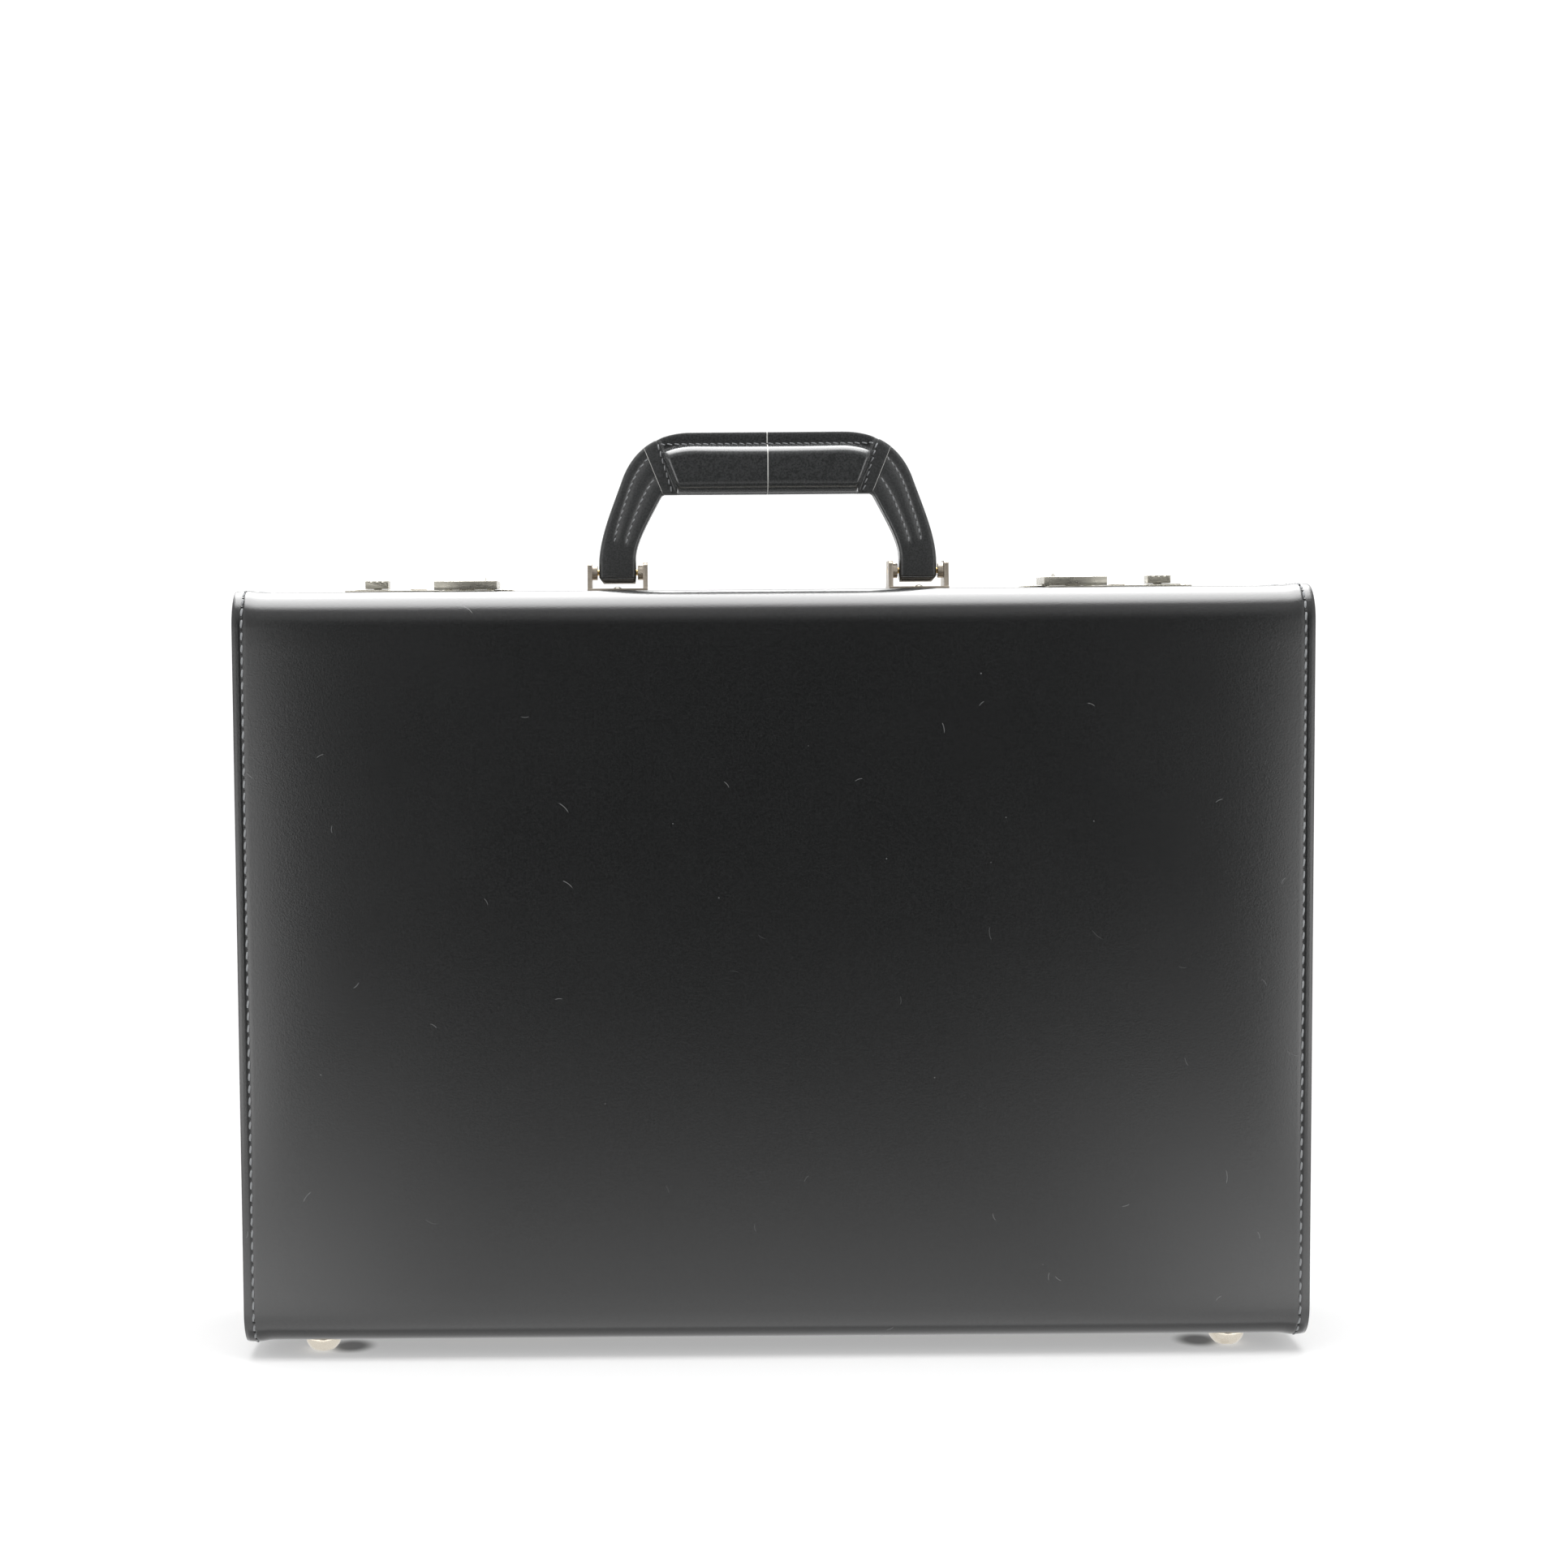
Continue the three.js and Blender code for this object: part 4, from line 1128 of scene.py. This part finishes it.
def inflate(piece, pinned, pressure, cap, rounds, shrink=0.0):
    """Cloth puffs the piece out between its pinned seams. No point moves further than cap."""
    rest = [v.co.copy() for v in piece.data.vertices]
    group = piece.vertex_groups.new(name="sewn")
    group.add(pinned, 1.0, "REPLACE")
    cloth = piece.modifiers.new("padding", "CLOTH")
    for key, value in CLOTH.items():
        setattr(cloth.settings, key, value)
    cloth.settings.uniform_pressure_force = pressure
    cloth.settings.shrink_min = shrink
    cloth.settings.effector_weights.gravity = 0
    cloth.collision_settings.use_collision = False
    cloth.point_cache.frame_end = CLOTH_FRAMES
    scene = bpy.context.scene
    for number in range(1, CLOTH_FRAMES + 1):
        scene.frame_set(number)
    bake(piece)
    scene.frame_set(1)
    moves = []
    for vertex, start in zip(piece.data.vertices, rest):
        move = vertex.co - start
        moves.append(move * min(1.0, cap / max(move.length, 1e-9)))
    for vertex, start, move in zip(piece.data.vertices, rest, spread(moves, piece.data, pinned, rounds)):
        vertex.co = start + move
    piece.vertex_groups.clear()


def make_grip():
    steps = grip_rows()
    rows = [grip_ring(v) for v in steps]
    last = len(rows) - 2
    builder = Builder()

    def slot_of(row, column):
        nearest = min(abs(steps[row]), abs(steps[row + 1]))
        centre = max(abs(steps[row]), abs(steps[row + 1])) < 1.5 * HAIRLINE
        if row in (0, last) or centre:
            return 1
        return 2 if nearest > GRIP_SEWN else 0

    builder.add_tube(rows, slot_of, 1)
    materials = [GRIP_LEATHER, PALE_EDGE, ARM_LEATHER]
    piece = show("grip", builder.mesh("grip"), "handle", "leather", materials, ["handle_grip"])
    crest = PIN.z + GRIP_TOP
    seam = outer_curve(SEWN_T).x - 1 * MM
    pinned = []
    for v in piece.data.vertices:
        depth = crest - v.co.z
        if depth < SEWN_STRIP or abs(v.co.x) > seam - SEAM_LEAN * depth:
            pinned.append(v.index)
    inflate(piece, pinned, pressure=4.0, cap=0.6 * MM, rounds=50)
    subdivide(piece)


def make_handle_stitching():
    lines = []
    for side in SIDES.values():
        for face in (-1, 1):
            normal = Vector((0, face, 0))
            for row in (0, 1):
                line = []
                for outer, inner, half, s in arm_pairs():
                    if s < GROOVE_START or s > 0.985:
                        continue
                    share = stitch_shares(s)[row]
                    flat = outer.lerp(inner, share)
                    line.append((place_on_handle(side, flat, face * (half - 0.25 * MM)), normal))
                lines.append(line)
            outer, inner = outer_curve(SEWN_T), inner_curve(SEWN_INNER_T)
            cross = []
            for k in range(13):
                flat = outer.lerp(inner, lerp(0.1, 0.94, k / 12))
                cross.append((place_on_handle(side, flat, face * (TAB_HALF + 0.2 * MM)), normal))
            lines.append(cross)
    for face in (-1, 1):
        level = GRIP_TOP - 5.0 * MM
        reach = outer_curve(SEWN_T).x - 2 * MM
        normal = Vector((0, face, 0))
        start = PIN + Vector((0, face * (STRIP_HALF + 0.2 * MM), level))
        lines.append([(start + Vector((lerp(-reach, reach, k / 40), 0, 0)), normal) for k in range(41)])
    looks = ("handle", "leather", GREY_THREAD)
    sew("handle_stitching", lines, *looks, *FINE_STITCH, slant=0.22, margin=0.5 * MM)


# ------------ inside


def make_linings():
    for body in ("lid", "base"):
        piece = softened(f"{body}_lining", 0.4 * MM, SUEDE, "lining")
        if body == "base":
            cut_out(piece, *lock_holes())


def pocket_mesh(low, high):
    """A front sheet that swells from its border, closed by a flat back."""
    columns, rows = 64, 36
    depth = high.y - low.y
    builder = Builder()
    front = []
    for i in range(rows + 1):
        row = []
        for j in range(columns + 1):
            x = lerp(low.x, high.x, j / columns)
            z = lerp(low.z, high.z, i / rows)
            edge = min(j, columns - j, i) / 3
            swell = 0.45 * depth * smoothstep(edge)
            row.append(Vector((x, low.y + 0.3 * depth + swell, z)))
        front.append(row)
    back = [[Vector((p.x, low.y, p.z)) for p in row] for row in front]
    top = builder.add_grid(front)
    under = builder.add_grid(back)
    border = [(i, 0) for i in range(rows + 1)] + [(rows, j) for j in range(1, columns + 1)]
    border += [(i, columns) for i in range(rows - 1, -1, -1)] + [(0, j) for j in range(columns - 1, 0, -1)]
    for (i, j), (m, n) in zip(border, border[1:] + border[:1]):
        builder.add_face((top[i][j], top[m][n], under[m][n], under[i][j]))
    return builder.mesh("lid_pocket")


def make_pocket():
    """A flat document pocket: a padded front sheet sewn down on three sides."""
    low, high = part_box("document_pocket")
    mesh = pocket_mesh(low, high)
    piece = show("lid_pocket", mesh, "lid", "pocket_leather", [POCKET_LEATHER], ["document_pocket"])
    margin = 9 * MM
    back = low.y + 0.5 * MM
    pinned = []
    for v in piece.data.vertices:
        beside = min(v.co.x - low.x, high.x - v.co.x, v.co.z - low.z) < margin
        if beside or v.co.y < back:
            pinned.append(v.index)
    inflate(piece, pinned, pressure=1.5, cap=2.5 * MM, rounds=8, shrink=-0.05)
    subdivide(piece)


def make_pocket_stitching():
    low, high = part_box("document_pocket")
    normal = Vector((0, 1, 0))
    inset = 4 * MM
    y = lerp(low.y, high.y, 0.45)
    left, right, bottom, top = low.x + inset, high.x - inset, low.z + inset, high.z - inset
    corners = [(left, top), (left, bottom), (right, bottom), (right, top)]
    lines = []
    for (xa, za), (xb, zb) in zip(corners, corners[1:]):
        a, b = Vector((xa, y, za)), Vector((xb, y, zb))
        lines.append([(a.lerp(b, k / 20), normal) for k in range(21)])
    sew("lid_pocket_stitching", lines, "lid", "pocket_leather", TAN_THREAD, *FINE_STITCH)


LOOPS = 4
LOOP_ENDS = 6 * MM
STRAP = 1.3 * MM


def loop_starts(low, high):
    """Where the strap is sewn down: before, between and after the loops."""
    return [lerp(low.x + LOOP_ENDS, high.x - LOOP_ENDS, n / LOOPS) for n in range(LOOPS + 1)]


def strap_path(low, high):
    tall = high.y - low.y - STRAP
    starts = loop_starts(low, high)
    path = [Vector((low.x, low.y)), Vector((starts[0], low.y))]
    for start, end in zip(starts, starts[1:]):
        for k in range(1, 16):
            a = math.pi * k / 16
            x = (start + end) / 2 - math.cos(a) * (end - start) * 0.38
            path.append(Vector((x, low.y + tall * math.sin(a) ** 0.7)))
        path.append(Vector((end, low.y)))
    return path + [Vector((high.x, low.y))]


def make_pen_loops():
    """Four loops formed by one strap that is sewn down between them."""
    low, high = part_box("pen_loop_strip")
    path = strap_path(low, high)
    builder = Builder()
    rows = []
    for k, point in enumerate(path):
        before = path[max(0, k - 1)]
        after = path[min(len(path) - 1, k + 1)]
        along = (after - before).normalized()
        outer = point + Vector((-along.y, along.x)) * STRAP
        corners = ((point, low.z), (outer, low.z), (outer, high.z), (point, high.z))
        rows.append([Vector((p.x, max(low.y, p.y), z)) for p, z in corners])
    builder.add_tube(rows)
    mesh = builder.mesh("pen_loops")
    piece = show("pen_loops", mesh, "lid", "pocket_leather", [POCKET_LEATHER], ["pen_loop_strip"])
    bevel = piece.modifiers.new("edges", "BEVEL")
    bevel.width = 0.4 * MM
    bevel.segments = 2
    bevel.angle_limit = math.radians(50)
    bake(piece)
    normal = Vector((0, 1, 0))
    levels = [lerp(low.z + 2 * MM, high.z - 2 * MM, k / 8) for k in range(9)]
    lines = [[(Vector((x, low.y + STRAP, z)), normal) for z in levels] for x in loop_starts(low, high)]
    sew("pen_loop_stitching", lines, "lid", "pocket_leather", TAN_THREAD, *FINE_STITCH)


# ------------ studio

FLOOR_FALL = 0.40  # the lit floor darkens away from the case over this distance, in reflections
SIDE_LIGHT_SHIFT = 0.05  # the side lights start further round on the right than on the left
STUD_SHADOW_SHIFT = 11 * MM  # towards the middle
STUD_SHADOW_BACK = 3 * MM

# Ramps are (from, to, value at from, value at to). Distances are in metres and directions are unit vectors.
SIDE_LIGHT = (0.19, 0.40, 0.0, 3.2)  # by sideways slope
STUD_SHADOW = (0.004, 0.012, 0.75, 0.0)  # by distance from its middle
BLEACH = (0.12, 0.45, 0.36, 1.0)  # share of pure white, by distance from the middle of the floor
UNDER_CASE = (0.0, 0.004, 0.45, 1.0)  # by distance outside the case
CORNER_SIDEWAYS = (-0.10, 0.07, 0.0, 2.1)  # more light beside the case
CORNER_FORWARD = (0.0, 0.1, 0.0, 1.0)
FLOOR_LEVEL = 1.9
FLOOR_DARKEST = 0.015
REFLECTION_DEPTH = 0.05  # the part of a reflection's path that lies over the case
SIDE_LIGHT_FORWARD = (0.2, 0.6, 0.0, 1.0)
SIDE_LIGHT_HEIGHT = (-0.08, 0.02, 1.0, 0.4)  # by z
SIDE_LIGHT_END = (0.5, 0.8, 1.0, 0.6)
SLOPE = (0.1, 0.8, 0.05, 1.0)  # by z
OVERHEAD = (0.60, 0.92, 0.0, 11.0)  # by height along a direction that leans backwards
OVERHEAD_WIDTH = (0.25, 0.5, 1.0, 0.15)
BACKDROP = (0.05, 0.35, 0.0, 1.3)  # by y
ROOM_LIGHT = 0.45
ROOM_SEEN = 0.7  # more for what the camera sees directly


def stud_shadow(graph, place, height):
    """Soft shadows beside the studs, towards the middle, while the floor is at the studs' tips."""
    darkest = 0.0
    for end in ("front", "back"):
        for name, side in SIDES.items():
            low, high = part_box(f"foot_{end}_{name}")
            x = (low.x + high.x) / 2 - side * STUD_SHADOW_SHIFT
            spot = (x, (low.y + high.y) / 2 + STUD_SHADOW_BACK, 0)
            away = graph.node("VectorMath", {0: place, 1: spot}, operation="DISTANCE").outputs["Value"]
            darkest = graph.larger(graph.span(away, *STUD_SHADOW), darkest)
    return graph.times(darkest, graph.math("GREATER_THAN", height, -1 * MM))


def floor_in_reflections(graph, x, y):
    """How bright the floor looks in the leather: it fades away from the case and turns into side light."""
    beside = graph.minus(graph.absolute(x), CAD_BOX[1].x)
    before = graph.minus(graph.absolute(y), CAD_BOX[1].y)
    gap = graph.larger(graph.larger(beside, before), 0.0)
    fall = graph.math("EXPONENT", graph.math("DIVIDE", gap, -FLOOR_FALL))
    shade = graph.span(gap, *UNDER_CASE)
    corner = graph.times(graph.span(beside, *CORNER_SIDEWAYS), graph.span(before, *CORNER_FORWARD))
    lit = graph.times(graph.times(fall, shade), graph.plus(corner, FLOOR_LEVEL))
    depth = graph.plus(graph.larger(before, 0.0), REFLECTION_DEPTH)
    shifted = graph.times(graph.math("SIGN", x), SIDE_LIGHT_SHIFT)
    turned = graph.minus(graph.math("DIVIDE", beside, depth), shifted)
    wing = graph.times(graph.span(turned, *SIDE_LIGHT), graph.span(before, *SIDE_LIGHT_FORWARD))
    return graph.plus(graph.plus(lit, wing), FLOOR_DARKEST)


def floor_material():
    """White floor, blown out away from the case and clear from below. Reflections see it fade."""
    graph = Graph("studio_floor")
    graph.set(Base_Color=(0.9, 0.9, 0.9), Roughness=0.9)
    geometry = graph.node("NewGeometry").outputs
    place = geometry["Position"]
    axes = graph.axes(place)
    across = graph.math("POWER", graph.times(axes["X"], 0.6), 2.0)
    away = graph.math("SQRT", graph.plus(across, graph.math("POWER", axes["Y"], 2.0)))
    rays = graph.node("LightPath").outputs
    bleach = graph.times(graph.span(away, *BLEACH), rays["Is Camera Ray"])
    dark = graph.times(stud_shadow(graph, place, axes["Z"]), rays["Is Camera Ray"])
    blown = graph.blend(bleach, graph.shader.outputs[0], graph.glow(1.05))
    shaded = graph.blend(dark, blown, graph.glow(0.0))
    mirrored = graph.glow(floor_in_reflections(graph, axes["X"], axes["Y"]))
    seen = graph.blend(rays["Is Glossy Ray"], shaded, mirrored)
    clear = graph.node("BsdfTransparent").outputs[0]
    sides = graph.blend(geometry["Backfacing"], seen, clear)
    graph.put(graph.nodes["Material Output"].inputs["Surface"], sides)
    graph.material.cycles.emission_sampling = "NONE"
    return graph.material


def make_floor():
    mesh = bpy.data.meshes.new("floor")
    mesh.from_pydata([(-6, -6, 0), (6, -6, 0), (6, 6, 0), (-6, 6, 0)], [], [(0, 1, 2, 3)])
    floor = add_object("floor", mesh)
    mesh.materials.append(floor_material())
    lower_with_lid(floor)


def lower_with_lid(floor):
    """Keeps the floor below the open lid: two markers ride on the lid's front corners."""
    low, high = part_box("lid_leather_cover")
    driver = floor.driver_add("location", 2).driver
    driver.type = "SCRIPTED"
    names = []
    for name, z in (("top", high.z), ("bottom", low.z)):
        marker = add_object(f"lid_{name}_marker", None)
        marker.location = (0, low.y, z)
        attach(marker, "lid")
        variable = driver.variables.new()
        variable.name = name
        variable.type = "TRANSFORMS"
        target = variable.targets[0]
        target.id = marker
        target.transform_type = "LOC_Z"
        target.transform_space = "WORLD_SPACE"
        names.append(f"{name} - 0.002")
    driver.expression = f"min(0, {', '.join(names)})"


def make_world():
    """White room: dark towards the photographer and behind, bright above and at both sides."""
    world = bpy.data.worlds.new("studio")
    bpy.context.scene.world = world
    tree = Nodes(world)
    axes = tree.axes(tree.node("TexCoord").outputs["Generated"])
    x, y, z = axes["X"], axes["Y"], axes["Z"]
    turned = tree.absolute(tree.minus(x, SIDE_LIGHT_SHIFT))
    wings = tree.times(tree.span(turned, *SIDE_LIGHT), tree.span(z, *SIDE_LIGHT_HEIGHT))
    sides = tree.times(wings, tree.span(turned, *SIDE_LIGHT_END))
    overhead = tree.plus(tree.times(z, 0.94), tree.times(y, 0.34))
    above = tree.times(tree.span(overhead, *OVERHEAD), tree.span(tree.absolute(x), *OVERHEAD_WIDTH))
    room = tree.larger(sides, tree.span(z, *SLOPE))
    reflected = tree.larger(tree.larger(room, tree.span(y, *BACKDROP)), above)
    rays = tree.node("LightPath").outputs
    glossy = rays["Is Glossy Ray"]
    plain = tree.plus(tree.times(rays["Is Camera Ray"], ROOM_SEEN), ROOM_LIGHT)
    kept = tree.times(plain, tree.minus(1.0, glossy))
    background = tree.nodes["Background"].inputs
    tree.put(background["Strength"], tree.plus(kept, tree.times(reflected, glossy)))
    tree.put(background["Color"], (1, 1, 1))
    world.cycles.sampling_method = "NONE"


def make_light(name, place, aim, size, power):
    data = bpy.data.lights.new(name, "AREA")
    data.shape = "RECTANGLE"
    data.size, data.size_y = size
    data.energy = power
    light = add_object(name, data)
    light.location = place
    light.visible_glossy = False
    light.rotation_euler = (Vector(aim) - Vector(place)).to_track_quat("-Z", "Y").to_euler()


def make_lights():
    """Softboxes: place, aim, size and power in watts."""
    make_light("softbox_above", (0, -0.1, 1.6), (0, 0, 0), (1.8, 1.4), 32)
    for name, side in SIDES.items():
        make_light(f"softbox_{name}", (side * 1.7, -0.5, 0.9), (0, 0, 0.15), (1.2, 1.4), 9)


CAMERA_PLACE = Vector((-0.0427, -1.0467, 0.2963))
CAMERA_PITCH = -3.624  # degrees
CAMERA_ROLL = 0.423
CAMERA_LENS = 57.93  # focal length in millimetres on a 36 mm sensor
CAMERA_SHIFT = 0.0754


def make_camera():
    data = bpy.data.cameras.new("camera")
    data.lens = CAMERA_LENS
    data.shift_x = CAMERA_SHIFT
    camera = add_object("camera", data)
    camera.location = CAMERA_PLACE
    tilt = Matrix.Rotation(math.radians(90 + CAMERA_PITCH), 3, "X")
    roll = Matrix.Rotation(math.radians(CAMERA_ROLL), 3, "Y")
    camera.rotation_euler = (roll @ tilt).to_euler()
    bpy.context.scene.camera = camera


# ------------ the whole scene

LID = Shell("lid", 1)
BASE = Shell("base", -1)
for shell in (LID, BASE):
    make_cover(shell)
    make_edge_stitching(shell)
    make_end_panels(shell)
make_fittings()
dress_plain_nodes()
make_springs()
make_feet()
make_rivets()
make_arms()
make_grip()
make_handle_stitching()
make_linings()
make_pocket()
make_pocket_stitching()
make_pen_loops()
make_floor()
make_world()
make_lights()
make_camera()
bpy.context.scene.view_settings.view_transform = "Standard"
